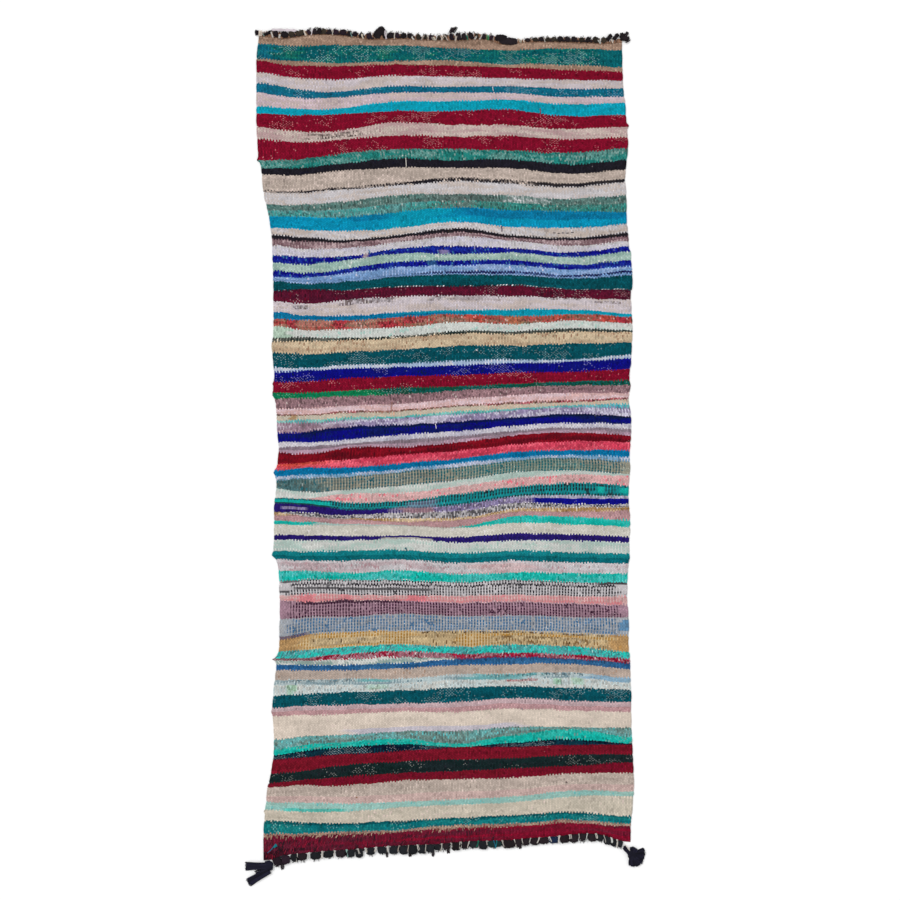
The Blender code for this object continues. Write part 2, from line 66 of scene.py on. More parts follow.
class Yarn(Enum):
    """The colours of the rags and yarns, as display red, green and blue from 0 to 255."""

    CAMEL = (161, 132, 113)
    PALE_CAMEL = (184, 156, 137)
    LAKE = (6, 100, 110)
    FERN = (26, 116, 94)
    MADDER = (140, 14, 44)
    WINE = (104, 10, 36)
    LILAC_WHITE = (214, 203, 209)
    ROSE_WHITE = (216, 194, 203)
    PETROL = (18, 108, 140)
    TURQUOISE = (10, 164, 188)
    BEIGE = (214, 195, 186)
    UMBER = (92, 76, 76)
    SEA_GREEN = (36, 132, 124)
    INK = (32, 30, 38)
    TAUPE = (190, 174, 163)
    WHITE = (214, 209, 212)
    SAGE = (116, 146, 140)
    LAGOON = (6, 152, 190)
    DEEP_BLUE = (8, 108, 154)
    MAUVE = (130, 100, 107)
    ROYAL = (12, 12, 138)
    NAVY = (26, 26, 84)
    MINT = (156, 188, 178)
    SKY = (120, 158, 206)
    BOTTLE = (4, 76, 86)
    PLUM = (88, 22, 48)
    AZURE = (4, 118, 168)
    BRICK = (170, 62, 62)
    PEACH = (220, 168, 140)
    MINT_WHITE = (215, 217, 212)
    BUTTER = (222, 200, 168)
    PINE = (4, 86, 100)
    LAVENDER_WHITE = (198, 194, 210)
    EMERALD = (10, 132, 80)
    DARK_GREEN = (16, 84, 66)
    DUSK = (170, 132, 138)
    PALE_PINK = (220, 180, 178)
    CREAM = (224, 209, 194)
    IVORY = (208, 204, 192)
    JADE = (24, 146, 152)
    TAN = (163, 158, 141)
    MALLOW = (176, 140, 156)
    DAMSON = (50, 14, 42)
    MIST = (176, 178, 182)
    SLATE = (52, 100, 140)
    STRAW = (218, 192, 148)
    DENIM = (42, 98, 150)
    CRIMSON = (168, 24, 60)
    ROSE = (226, 100, 118)
    THISTLE = (150, 116, 126)
    TEAL = (8, 116, 124)
    SEAFOAM = (160, 200, 190)
    TOBACCO = (150, 112, 88)
    RUSSET = (162, 114, 96)
    BRONZE = (168, 120, 44)
    GREY_ROSE = (186, 164, 166)
    BLACK_PURPLE = (28, 16, 26)
    BLACK_BLUE = (10, 26, 50)
    NAVY_BLACK = (18, 17, 32)
    POOL = (90, 178, 180)
    LAVENDER = (158, 144, 182)
    SMOKE = (130, 116, 126)
    OXBLOOD = (138, 14, 32)
    GARNET = (60, 8, 20)
    CORAL = (214, 66, 92)
    FLAME = (214, 78, 60)
    CERULEAN = (4, 114, 164)
    AQUA = (18, 190, 176)
    OCHRE = (180, 140, 92)
    GRAPE = (40, 24, 108)
    NIGHT_GREEN = (20, 42, 42)
    BURGUNDY = (102, 32, 52)
    SCARLET = (124, 20, 38)
    COTTON = (204, 198, 190)
    BLACK = (24, 17, 21)
    BLACK_GREEN = (20, 22, 26)
    BLACK_BROWN = (40, 34, 27)
    ICE = (172, 194, 224)
    BLUSH = (192, 150, 152)
    ORCHID = (198, 162, 182)
    FROST = (192, 208, 210)
    STEEL = (88, 118, 130)
    COFFEE = (72, 50, 38)
    LEAF = (126, 194, 146)
    OATMEAL = (204, 194, 177)
    SALMON = (206, 126, 132)
    HAZE = (124, 170, 204)

    def linear(self) -> Array:
        """Give the colour as linear light."""
        display = np.array(self.value) / 255.0
        return np.where(display <= 0.04045, display / 12.92, ((display + 0.055) / 1.055) ** 2.4)


def dyes(yarns: Iterable[Yarn]) -> Array:
    """Give the colours of some yarns as linear light, one row each."""
    return np.array([yarn.linear() for yarn in yarns])


class Look(Enum):
    """How much of a band is long streaks of its second yarn, checks, pale warp flecks, and short dashes."""

    EVEN = (0.12, 0.0, 0.0, 0.0)
    CALM = (0.25, 0.0, 0.05, 0.02)
    STREAKED = (0.7, 0.0, 0.1, 0.04)
    SMEARED = (0.85, 0.0, 0.2, 0.13)
    MOTTLED = (0.8, 0.0, 0.3, 0.25)
    FLECKED = (0.4, 0.0, 0.52, 0.03)
    DUSTED = (0.4, 0.0, 0.62, 0.03)
    STARRED = (0.4, 0.0, 0.76, 0.04)
    CHECKED = (0.2, 1.0, 0.2, 0.02)
    SPECKED = (0.5, 0.0, 0.1, 0.15)
    TOUCHED = (0.15, 0.0, 0.1, 0.13)
    BROKEN = (0.3, 0.0, 0.05, 0.4)
    DOTTED = (0.3, 0.0, 0.0, 0.42)


class Band(NamedTuple):
    """A woven band: its selvedges, how far down its lower edge is on each warp line, and its yarns."""

    left: float
    right: float
    edge: tuple[float, ...]
    yarn: Yarn
    second: Yarn
    look: Look


class Patch(NamedTuple):
    """A stretch of a band that is woven with another yarn, in mm across and shares of the band's depth."""

    band: int  # counted from 1
    start: float
    stop: float
    top: float
    foot: float
    fade: float
    strength: float
    yarn: Yarn
    look: Look | None = None
    ground: bool = True  # whether it replaces the band's own yarn, or only the second one


class EndPoint(NamedTuple):
    """A place along one end: where the cloth stops, and where the knots beyond it stop."""

    across: float
    cloth: float
    knots: float


class Knot(NamedTuple):
    """A knot of the end finish: its middle and its width along the end."""

    across: float
    width: float


class PaleEnd(NamedTuple):
    """Warp ends that show between two knots: their middle, their width and their yarn."""

    across: float
    width: float
    yarn: Yarn


class Lump(NamedTuple):
    """A thick winding: the ends of its axis, in mm across and down, and half its width."""

    start: tuple[float, float]
    stop: tuple[float, float]
    half: float


class Lock(NamedTuple):
    """A lock of loose yarn, from its root to its tip in mm, with its width there and its number of yarns."""

    root: tuple[float, float]
    tip: tuple[float, float]
    spread: float
    yarns: int


class Thread(NamedTuple):
    """A stray thread on the face: its two ends in mm, its radius and its yarn."""

    start: tuple[float, float]
    stop: tuple[float, float]
    radius: float
    yarn: Yarn


def chart(kind: type[Row], *rows: Sequence[Any]) -> tuple[Row, ...]:
    """Read a table of records.

    Args:
        kind: what each row is.
        rows: its values in order. A string stands for the yarns and the look that it names.

    Returns:
        The records.
    """

    def meant(value: Any) -> list[Any]:
        """Look up the names in a string."""
        if isinstance(value, str):
            return [Yarn[name] if name in Yarn.__members__ else Look[name] for name in value.split()]
        return [value]

    return tuple(kind(*(part for value in row for part in meant(value))) for row in rows)


BANDS = chart(
    Band,
    (41, 1131, (43, 47, 46, 46, 55, 61, 56, 61), "CAMEL PALE_CAMEL CALM"),
    (36, 1132, (88, 92, 99, 95, 91, 103, 104, 113), "LAKE FERN STARRED"),
    (33, 1133, (92, 105, 108, 104, 107, 112, 120, 126), "CAMEL PALE_CAMEL CALM"),
    (34, 1134, (128, 141, 149, 138, 140, 146, 151, 153), "MADDER WINE FLECKED"),
    (34, 1134, (160, 173, 188, 169, 171, 169, 177, 176), "LILAC_WHITE TAUPE STREAKED"),
    (34, 1136, (189, 201, 205, 189, 188, 190, 203, 200), "PETROL LAKE FLECKED"),
    (34, 1140, (229, 235, 237, 216, 214, 209, 223, 219), "ROSE_WHITE TAUPE STREAKED"),
    (34, 1142, (250, 255, 254, 245, 245, 239, 260, 255), "TURQUOISE LAGOON CALM"),
    (34, 1144, (292, 302, 306, 279, 284, 287, 298, 291), "MADDER WINE FLECKED"),
    (35, 1147, (326, 335, 333, 317, 321, 318, 328, 323), "BEIGE DUSK STREAKED"),
    (38, 1150, (391, 391, 376, 357, 359, 362, 369, 355), "MADDER WINE FLECKED"),
    (47, 1148, (415, 415, 404, 386, 392, 388, 404, 391), "SEA_GREEN SAGE SPECKED"),
    (49, 1144, (433, 436, 425, 414, 415, 415, 432, 421), "INK NAVY_BLACK CALM"),
    (52, 1141, (482, 485, 475, 460, 443, 450, 461, 447), "TAUPE BEIGE CALM"),
    (55, 1140, (487, 490, 480, 468, 454, 462, 473, 458), "INK TAUPE SPECKED"),
    (58, 1143, (523, 525, 517, 496, 493, 496, 508, 496), "WHITE TAUPE STREAKED"),
    (68, 1145, (559, 561, 563, 547, 532, 541, 544, 546), "SAGE SEA_GREEN MOTTLED"),
    (74, 1145, (594, 598, 604, 594, 576, 592, 594, 583), "LAGOON DEEP_BLUE CALM"),
    (78, 1148, (614, 621, 630, 614, 595, 615, 624, 608), "WHITE TAUPE SMEARED"),
    (80, 1150, (629, 634, 638, 623, 608, 623, 631, 620), "INK BLACK_BROWN CALM"),
    (81, 1151, (646, 656, 656, 636, 619, 632, 648, 634), "MAUVE GREY_ROSE STREAKED"),
    (82, 1152, (676, 682, 680, 656, 648, 655, 667, 651), "WHITE LAVENDER_WHITE SMEARED"),
    (82, 1153, (698, 704, 691, 671, 672, 668, 681, 666), "ROYAL SLATE TOUCHED"),
    (83, 1158, (720, 730, 717, 695, 691, 692, 704, 692), "MINT MINT_WHITE CALM"),
    (84, 1160, (741, 743, 730, 711, 706, 706, 720, 711), "ROYAL SLATE TOUCHED"),
    (84, 1161, (750, 752, 746, 733, 724, 725, 736, 723), "SKY LAVENDER_WHITE CALM"),
    (84, 1162, (751, 755, 750, 737, 731, 733, 741, 730), "NAVY SKY TOUCHED"),
    (85, 1162, (754, 762, 755, 739, 734, 737, 745, 738), "SKY LAVENDER_WHITE CALM"),
    (85, 1163, (782, 778, 780, 768, 767, 764, 778, 777), "BOTTLE PINE CALM"),
    (85, 1160, (783, 779, 781, 771, 770, 767, 779, 779), "BOTTLE WHITE DOTTED"),
    (85, 1157, (813, 821, 811, 800, 797, 798, 806, 809), "PLUM WINE FLECKED"),
    (85, 1159, (846, 856, 857, 846, 840, 838, 839, 851), "LILAC_WHITE TAUPE STREAKED"),
    (85, 1161, (868, 870, 871, 860, 852, 859, 853, 860), "AZURE PETROL STREAKED"),
    (85, 1162, (889, 900, 898, 892, 876, 882, 872, 880), "RUSSET BRICK MOTTLED"),
    (85, 1163, (923, 922, 924, 918, 903, 905, 895, 902), "MINT_WHITE SEAFOAM TOUCHED"),
    (82, 1163, (935, 935, 931, 924, 911, 913, 905, 908), "NIGHT_GREEN OATMEAL TOUCHED"),
    (80, 1162, (968, 973, 966, 958, 948, 946, 941, 938), "BUTTER TOBACCO SPECKED"),
    (84, 1160, (1013, 1015, 1005, 1001, 991, 988, 990, 974), "PINE BOTTLE DUSTED"),
    (86, 1159, (1026, 1022, 1017, 1012, 1006, 999, 995, 986), "ICE WHITE STREAKED"),
    (88, 1159, (1056, 1055, 1046, 1038, 1035, 1027, 1025, 1017), "ROYAL BLACK_BLUE FLECKED"),
    (85, 1153, (1089, 1090, 1082, 1073, 1069, 1062, 1054, 1051), "MADDER WINE FLECKED"),
    (83, 1155, (1107, 1105, 1098, 1094, 1081, 1072, 1066, 1066), "DARK_GREEN LAKE FLECKED"),
    (93, 1155, (1136, 1136, 1127, 1120, 1105, 1096, 1088, 1089), "DUSK MAUVE MOTTLED"),
    (94, 1152, (1151, 1155, 1143, 1139, 1125, 1117, 1110, 1103), "PALE_PINK ROSE_WHITE STREAKED"),
    (95, 1151, (1157, 1157, 1149, 1144, 1130, 1123, 1117, 1110), "RUSSET DUSK BROKEN"),
    (95, 1152, (1172, 1170, 1163, 1158, 1144, 1136, 1125, 1123), "OATMEAL PEACH CALM"),
    (95, 1154, (1179, 1179, 1171, 1163, 1153, 1141, 1132, 1135), "POOL SEAFOAM STREAKED"),
    (96, 1157, (1210, 1205, 1190, 1184, 1174, 1163, 1151, 1159), "LAVENDER LAVENDER_WHITE SMEARED"),
    (98, 1159, (1235, 1237, 1228, 1213, 1202, 1186, 1179, 1182), "ROYAL BLACK_BLUE STREAKED"),
    (100, 1159, (1251, 1249, 1240, 1228, 1217, 1201, 1193, 1197), "LAVENDER_WHITE WHITE STREAKED"),
    (101, 1159, (1268, 1272, 1252, 1250, 1235, 1216, 1207, 1216), "ORCHID SMOKE STREAKED"),
    (99, 1158, (1302, 1296, 1288, 1273, 1261, 1242, 1233, 1236), "OXBLOOD GARNET STREAKED"),
    (95, 1156, (1320, 1313, 1312, 1299, 1286, 1266, 1260, 1261), "CORAL ROSE STREAKED"),
    (88, 1154, (1338, 1334, 1331, 1317, 1299, 1283, 1275, 1280), "CERULEAN DEEP_BLUE CALM"),
    (92, 1154, (1350, 1345, 1341, 1325, 1311, 1291, 1284, 1295), "HAZE LAVENDER_WHITE STREAKED"),
    (95, 1156, (1375, 1386, 1380, 1367, 1351, 1326, 1322, 1331), "TAN PINE CHECKED"),
    (92, 1155, (1405, 1406, 1391, 1389, 1368, 1345, 1334, 1336), "MINT_WHITE MINT STREAKED"),
    (90, 1153, (1405, 1406, 1417, 1413, 1391, 1372, 1357, 1365), "PALE_PINK ROSE TOUCHED"),
    (89, 1151, (1421, 1425, 1438, 1435, 1425, 1401, 1396, 1397), "JADE INK CHECKED"),
    (87, 1151, (1446, 1448, 1455, 1448, 1443, 1420, 1423, 1423), "LAVENDER NAVY CHECKED"),
    (87, 1152, (1446, 1457, 1465, 1464, 1463, 1437, 1432, 1432), "WHITE INK BROKEN"),
    (87, 1153, (1456, 1458, 1467, 1475, 1469, 1446, 1445, 1442), "OCHRE BUTTER STREAKED"),
    (87, 1155, (1472, 1475, 1482, 1485, 1490, 1459, 1460, 1470), "BLUSH DUSK CALM"),
    (87, 1156, (1483, 1484, 1485, 1486, 1492, 1479, 1482, 1490), "AQUA POOL CALM"),
    (87, 1155, (1515, 1516, 1518, 1516, 1521, 1510, 1513, 1519), "IVORY WHITE EVEN"),
    (87, 1153, (1530, 1530, 1531, 1526, 1537, 1531, 1532, 1536), "GRAPE NAVY CALM"),
    (86, 1153, (1563, 1563, 1562, 1559, 1568, 1562, 1566, 1570), "MINT_WHITE MINT STREAKED"),
    (84, 1154, (1587, 1592, 1591, 1588, 1598, 1592, 1598, 1601), "TEAL PINE STREAKED"),
    (99, 1149, (1622, 1622, 1629, 1621, 1632, 1626, 1629, 1631), "WHITE DUSK SPECKED"),
    (102, 1148, (1652, 1648, 1649, 1650, 1657, 1649, 1657, 1657), "AQUA POOL SPECKED"),
    (103, 1147, (1698, 1692, 1694, 1696, 1696, 1694, 1698, 1698), "WHITE INK CHECKED"),
    (104, 1146, (1712, 1714, 1709, 1713, 1717, 1714, 1719, 1725), "PALE_PINK SALMON CHECKED"),
    (105, 1150, (1767, 1761, 1759, 1751, 1759, 1755, 1761, 1761), "MALLOW DAMSON CHECKED"),
    (103, 1152, (1829, 1815, 1805, 1802, 1803, 1802, 1810, 1817), "MIST SLATE CHECKED"),
    (103, 1150, (1864, 1860, 1850, 1843, 1850, 1843, 1849, 1866), "STRAW BRONZE CHECKED"),
    (98, 1155, (1886, 1884, 1871, 1863, 1871, 1868, 1874, 1886), "POOL AQUA MOTTLED"),
    (87, 1156, (1891, 1892, 1886, 1880, 1885, 1880, 1886, 1898), "CRIMSON THISTLE MOTTLED"),
    (93, 1156, (1904, 1904, 1903, 1898, 1885, 1880, 1886, 1898), "MINT_WHITE SAGE SMEARED"),
    (94, 1156, (1921, 1921, 1920, 1914, 1905, 1902, 1902, 1917), "DENIM SLATE STREAKED"),
    (91, 1156, (1950, 1949, 1946, 1946, 1933, 1929, 1928, 1944), "TAUPE CAMEL CALM"),
    (88, 1157, (1966, 1965, 1965, 1960, 1950, 1948, 1944, 1958), "FROST STEEL STREAKED"),
    (85, 1157, (1998, 1993, 1986, 1981, 1973, 1967, 1973, 1977), "MINT_WHITE FROST MOTTLED"),
    (83, 1160, (2032, 2028, 2024, 2020, 2015, 2003, 2012, 2017), "PINE BOTTLE DUSTED"),
    (79, 1158, (2059, 2056, 2051, 2045, 2045, 2036, 2041, 2044), "BLUSH DUSK CALM"),
    (86, 1159, (2129, 2119, 2114, 2104, 2101, 2090, 2091, 2092), "CREAM BEIGE EVEN"),
    (87, 1160, (2156, 2146, 2135, 2126, 2140, 2112, 2097, 2120), "SAGE POOL SPECKED"),
    (86, 1162, (2175, 2163, 2151, 2142, 2150, 2136, 2128, 2139), "AQUA SAGE TOUCHED"),
    (86, 1162, (2187, 2182, 2173, 2163, 2150, 2150, 2144, 2142), "BLACK_BLUE BOTTLE STARRED"),
    (81, 1163, (2229, 2224, 2205, 2194, 2187, 2183, 2173, 2173), "SCARLET WINE CALM"),
    (74, 1164, (2259, 2251, 2241, 2229, 2222, 2215, 2207, 2195), "NIGHT_GREEN INK FLECKED"),
    (69, 1166, (2272, 2266, 2266, 2252, 2246, 2243, 2230, 2228), "SCARLET WINE STREAKED"),
    (65, 1167, (2315, 2315, 2319, 2315, 2307, 2298, 2280, 2284), "TAUPE BEIGE EVEN"),
    (62, 1167, (2339, 2343, 2345, 2332, 2323, 2316, 2298, 2297), "SEAFOAM POOL CALM"),
    (60, 1163, (2372, 2375, 2379, 2372, 2363, 2355, 2345, 2359), "OATMEAL BEIGE EVEN"),
    (56, 1158, (2411, 2411, 2406, 2400, 2384, 2380, 2368, 2382), "TEAL SEA_GREEN FLECKED"),
    (55, 1158, (2417, 2418, 2414, 2406, 2394, 2388, 2378, 2389), "PALE_CAMEL BURGUNDY SPECKED"),
    (55, 1157, (2489, 2474, 2459, 2448, 2439, 2428, 2409, 2430), "BURGUNDY WINE STREAKED"),
)

PATCHES = chart(
    Patch,
    (2, 36, 90, 0, 1, 30, 0.6, "PETROL CALM"), (2, 120, 170, 0.3, 0.9, 20, 0.6, "FERN"),
    (2, 396, 450, 0.3, 0.8, 24, 0.6, "FERN"), (2, 834, 885, 0.5, 1, 24, 0.35, "EMERALD CALM"),
    (2, 1070, 1200, 0, 1, 20, 1, "LAKE CALM"), (10, 198, 354, 0.3, 0.8, 30, 1, "UMBER BROKEN", False),
    (14, 52, 150, 0.2, 0.8, 30, 0.5, "UMBER SPECKED", False),
    (15, 840, 1200, 0, 1, 40, 0.95, "BLACK_BROWN CALM", False),
    (17, 60, 1150, 0, 0.5, 20, 0.5, "UMBER MOTTLED", False), (17, 60, 560, 0.55, 1, 60, 0.5, "POOL"),
    (17, 700, 1200, 0.5, 1, 60, 0.6, "SEA_GREEN"), (17, 540, 720, 0, 0.5, 60, 0.35, "UMBER"),
    (17, 780, 900, 0, 0.55, 20, 0.8, "WHITE SPECKED", False), (18, 400, 620, 0, 1, 80, 0.7, "TURQUOISE"),
    (18, 620, 1200, 0, 0.45, 60, 0.7, "DEEP_BLUE"), (18, 300, 420, 0, 0.4, 30, 0.6, "DEEP_BLUE"),
    (23, 356, 371, 0, 1, 6, 0.9, "GREY_ROSE CALM"), (23, 590, 620, 0.3, 0.8, 14, 0.7, "LAVENDER"),
    (25, 552, 580, 0, 0.9, 10, 0.7, "SLATE"), (27, 40, 540, 0, 1, 60, 0.75, "SKY"),
    (27, 600, 860, 0, 1, 40, 1, "NAVY CALM"), (32, 147, 195, 0.15, 0.55, 10, 1, "UMBER BROKEN", False),
    (32, 291, 450, 0, 0.4, 16, 1, "UMBER BROKEN", False),
    (32, 555, 600, 0, 0.4, 10, 0.8, "UMBER BROKEN", False),
    (32, 615, 780, 0, 0.35, 20, 0.8, "UMBER SPECKED", False),
    (32, 885, 1005, 0, 0.2, 20, 0.9, "UMBER BROKEN", False),
    (32, 1035, 1140, 0.1, 0.4, 16, 0.8, "UMBER BROKEN", False), (33, 560, 1300, 0, 1, 250, 0.9, "TURQUOISE"),
    (34, 60, 130, 0.2, 0.8, 20, 0.8, "BRICK"), (34, 129, 152, 0.1, 0.9, 8, 0.7, "CRIMSON"),
    (34, 165, 255, 0, 0.6, 20, 0.5, "PALE_CAMEL"), (34, 268, 302, 0.1, 0.9, 8, 0.7, "CRIMSON"),
    (34, 320, 390, 0, 1, 20, 0.4, "PALE_CAMEL"), (34, 403, 452, 0.2, 0.9, 10, 0.7, "CRIMSON"),
    (34, 478, 542, 0.1, 0.8, 12, 0.6, "CRIMSON"), (34, 580, 680, 0.2, 1, 20, 0.4, "PALE_CAMEL"),
    (34, 663, 714, 0, 0.9, 12, 0.5, "FLAME"), (34, 786, 828, 0.1, 1, 12, 0.5, "OCHRE"),
    (34, 828, 858, 0.2, 1, 12, 0.4, "FERN"), (34, 927, 962, 0, 0.8, 12, 0.6, "FLAME"),
    (34, 1070, 1110, 0, 0.9, 12, 0.5, "FLAME"), (34, 1116, 1150, 0.1, 1, 10, 0.8, "CRIMSON"),
    (35, 60, 130, 0.1, 1, 20, 0.4, "LEAF"), (36, 620, 1200, 0, 1, 60, 1, "NIGHT_GREEN CALM"),
    (36, 330, 600, 0, 1, 40, 0.8, "OATMEAL BROKEN", False), (42, 60, 400, 0, 1, 60, 0.9, "EMERALD"),
    (45, 250, 275, 0, 1, 8, 0.8, "CRIMSON"), (45, 305, 335, 0, 1, 10, 0.7, "CRIMSON"),
    (45, 722, 764, 0, 1, 10, 0.8, "CRIMSON"), (45, 816, 860, 0, 1, 10, 0.8, "CRIMSON"),
    (45, 930, 975, 0, 1, 10, 0.8, "CRIMSON"), (45, 1005, 1140, 0, 1, 20, 0.7, "CRIMSON"),
    (46, 134, 158, 0, 0.8, 8, 0.8, "OCHRE"), (47, 200, 760, 0, 1, 60, 0.45, "AQUA"),
    (47, 1000, 1135, 0, 1, 20, 0.7, "TURQUOISE"), (48, 0, 270, 0, 1, 150, 0.7, "DUSK"),
    (48, 165, 215, 0, 0.8, 16, 0.8, "UMBER SPECKED", False), (49, 180, 1160, 0, 0.22, 30, 0.7, "BLACK_BLUE"),
    (49, 980, 1160, 0, 0.62, 40, 0.6, "BLACK_BLUE"), (51, 0, 1200, 0, 0.45, 20, 0.85, "SMOKE"),
    (53, 60, 260, 0, 1, 140, 0.9, "FLAME"), (56, 60, 255, 0, 1, 60, 0.6, "LAKE MOTTLED"),
    (56, 700, 1140, 0, 1, 200, 0.3, "SEA_GREEN"), (59, 60, 255, 0.15, 0.8, 12, 0.8, "AQUA CALM"),
    (59, 60, 255, 0.8, 1, 12, 0.8, "INK CALM"), (59, 465, 570, 0.3, 1, 30, 0.4, "LAVENDER"),
    (59, 1050, 1076, 0.2, 0.8, 8, 0.8, "AQUA CALM"), (59, 1116, 1180, 0.2, 0.8, 12, 0.8, "AQUA CALM"),
    (60, 60, 435, 0, 1, 12, 1, "GRAPE CALM"), (60, 100, 190, 0.35, 0.55, 16, 0.8, "LAVENDER"),
    (60, 465, 570, 0, 1, 12, 0.9, "DUSK"), (60, 570, 840, 0, 1, 20, 0.85, "LAVENDER BROKEN"),
    (60, 820, 1200, 0, 0.42, 30, 0.8, "LAVENDER_WHITE BROKEN"), (60, 850, 1200, 0.42, 1, 20, 1, "ROYAL CALM"),
    (62, 140, 300, 0, 1, 20, 0.8, "DUSK"), (64, 216, 640, 0, 1, 20, 0.7, "MINT_WHITE"),
    (66, 414, 561, 0.45, 1, 12, 0.8, "IVORY SPECKED"), (68, 0, 1200, 0, 0.5, 12, 0.6, "JADE"),
    (68, 0, 1200, 0.5, 1, 12, 0.5, "LAKE"), (69, 99, 1149, 0, 0.25, 20, 0.7, "WHITE"),
    (69, 150, 300, 0.3, 1, 60, 0.3, "DUSK"), (69, 700, 860, 0.3, 1, 60, 0.5, "PALE_PINK"),
    (71, 135, 561, 0.58, 0.74, 20, 0.8, "INK CALM"), (71, 103, 160, 0, 0.2, 8, 0.8, "INK CALM"),
    (71, 103, 138, 0.6, 0.8, 8, 0.8, "INK CALM"), (71, 1040, 1200, 0, 0.2, 20, 0.9, "INK CALM"),
    (72, 165, 213, 0, 1, 10, 0.5, "CORAL CALM"), (72, 285, 324, 0, 1, 10, 0.4, "CORAL CALM"),
    (72, 489, 549, 0, 1, 10, 0.6, "CORAL CALM"), (73, 168, 471, 0, 0.12, 20, 0.8, "DAMSON"),
    (74, 80, 200, 0.82, 1, 20, 0.7, "PLUM CALM"), (74, 1125, 1180, 0.15, 0.65, 8, 0.7, "AZURE CALM"),
    (75, 60, 180, 0, 1, 40, 0.9, "OCHRE CALM"), (75, 210, 420, 0.35, 0.9, 30, 1, "COFFEE SPECKED", False),
    (75, 510, 640, 0.1, 1, 30, 0.8, "COFFEE SPECKED", False),
    (75, 760, 1110, 0.4, 1, 40, 0.7, "COFFEE BROKEN", False),
    (75, 540, 1130, 0, 0.12, 40, 0.9, "COFFEE BROKEN", False), (75, 1100, 1200, 0, 1, 20, 0.9, "OCHRE CALM"),
    (77, 60, 207, 0, 1, 12, 0.7, "UMBER"), (81, 120, 320, 0.1, 0.7, 30, 0.9, "STEEL BROKEN", False),
    (81, 300, 400, 0.1, 0.7, 60, 0.8, "POOL"), (81, 690, 1000, 0, 0.5, 30, 0.9, "STEEL BROKEN", False),
    (81, 640, 860, 0.1, 0.8, 60, 0.7, "POOL"), (81, 1000, 1180, 0, 0.8, 60, 0.7, "HAZE"),
    (82, 130, 152, 0.1, 0.9, 10, 0.6, "LEAF"), (82, 375, 420, 0, 0.8, 20, 0.4, "LEAF"),
    (82, 928, 946, 0.1, 0.8, 6, 0.7, "LEAF"), (82, 985, 1010, 0, 0.7, 12, 0.5, "LEAF"),
    (82, 789, 873, 0, 0.2, 10, 0.8, "BRICK"), (84, 0, 1200, 0, 0.4, 12, 0.4, "LILAC_WHITE"),
    (85, 300, 800, 0.75, 1, 80, 0.8, "LAVENDER_WHITE"), (92, 0, 1200, 0.6, 1, 20, 0.5, "PALE_PINK"),
    (93, 126, 309, 0.6, 1, 20, 0.7, "AQUA"), (95, 0, 1200, 0, 0.35, 10, 0.7, "BOTTLE"),
    (97, 560, 1300, 0, 1, 400, 0.9, "MADDER"), (97, 0, 135, 0.7, 1, 60, 0.75, "BLACK_PURPLE"),
)

UPPER_END = chart(
    EndPoint,
    (39, 16, 2), (81, 21, -1), (117, 25, 0), (156, 20, 2), (192, 14, -5), (222, 13, -7), (258, 13, -5),
    (297, 17, -2), (333, 20, 4), (357, 25, 9), (380, 29, 6), (400, 28, -7), (411, 27, -7), (426, 26, 3),
    (480, 25, 6), (528, 29, 11), (585, 30, 13), (645, 31, 6), (684, 27, 6), (723, 27, 10), (747, 33, 11),
    (765, 42, 14), (801, 43, 21), (822, 36, 24), (894, 35, 19), (954, 36, 19), (1041, 38, 20),
    (1068, 40, 21), (1098, 39, 23), (1132, 35, 24),
)

LOWER_END = chart(
    EndPoint,
    (55, 2491, 2514), (84, 2488, 2514), (117, 2474, 2503), (174, 2470, 2496), (213, 2465, 2492),
    (252, 2462, 2487), (318, 2458, 2483), (378, 2453, 2479), (411, 2449, 2473), (504, 2445, 2472),
    (582, 2442, 2466), (633, 2437, 2459), (687, 2433, 2457), (792, 2431, 2455), (840, 2425, 2447),
    (897, 2422, 2442), (960, 2416, 2439), (1014, 2411, 2438), (1038, 2410, 2433), (1065, 2412, 2437),
    (1089, 2420, 2443), (1128, 2433, 2456), (1160, 2436, 2458),
)


def place(across: Array, down: Array, up: Array | float) -> Array:
    """Turn places on the rug and heights over the floor, in millimetres, into points in metres."""
    return np.stack(((across - MIDDLE_ACROSS) * MM, (MIDDLE_DOWN - down) * MM, up * MM), -1)


def pair(first: Array, second: Array) -> Array:
    """Put two arrays side by side, as the last axis."""
    return np.stack((first, second), -1)


def blend(first: Array, second: Array, share: Array) -> Array:
    """Go from the first to the second by a share."""
    return first * (1 - share) + second * share


def end_line(points: Sequence[EndPoint], across: Array | float, knots: bool = False) -> Array:
    """Read where the cloth, or the row of knots beyond it, stops along one end.

    Args:
        points: the places measured along that end.
        across: where to read, in mm.
        knots: whether to read the knots' line rather than the cloth's.

    Returns:
        How far down the line is at each place, in mm.
    """
    return np.interp(across, [p.across for p in points], [p.knots if knots else p.cloth for p in points])


def smooth(share: Array) -> Array:
    """Ease from 0 to 1: three times the square less twice the cube of the clipped share."""
    share = np.clip(share, 0.0, 1.0)
    return share * share * (3.0 - 2.0 * share)


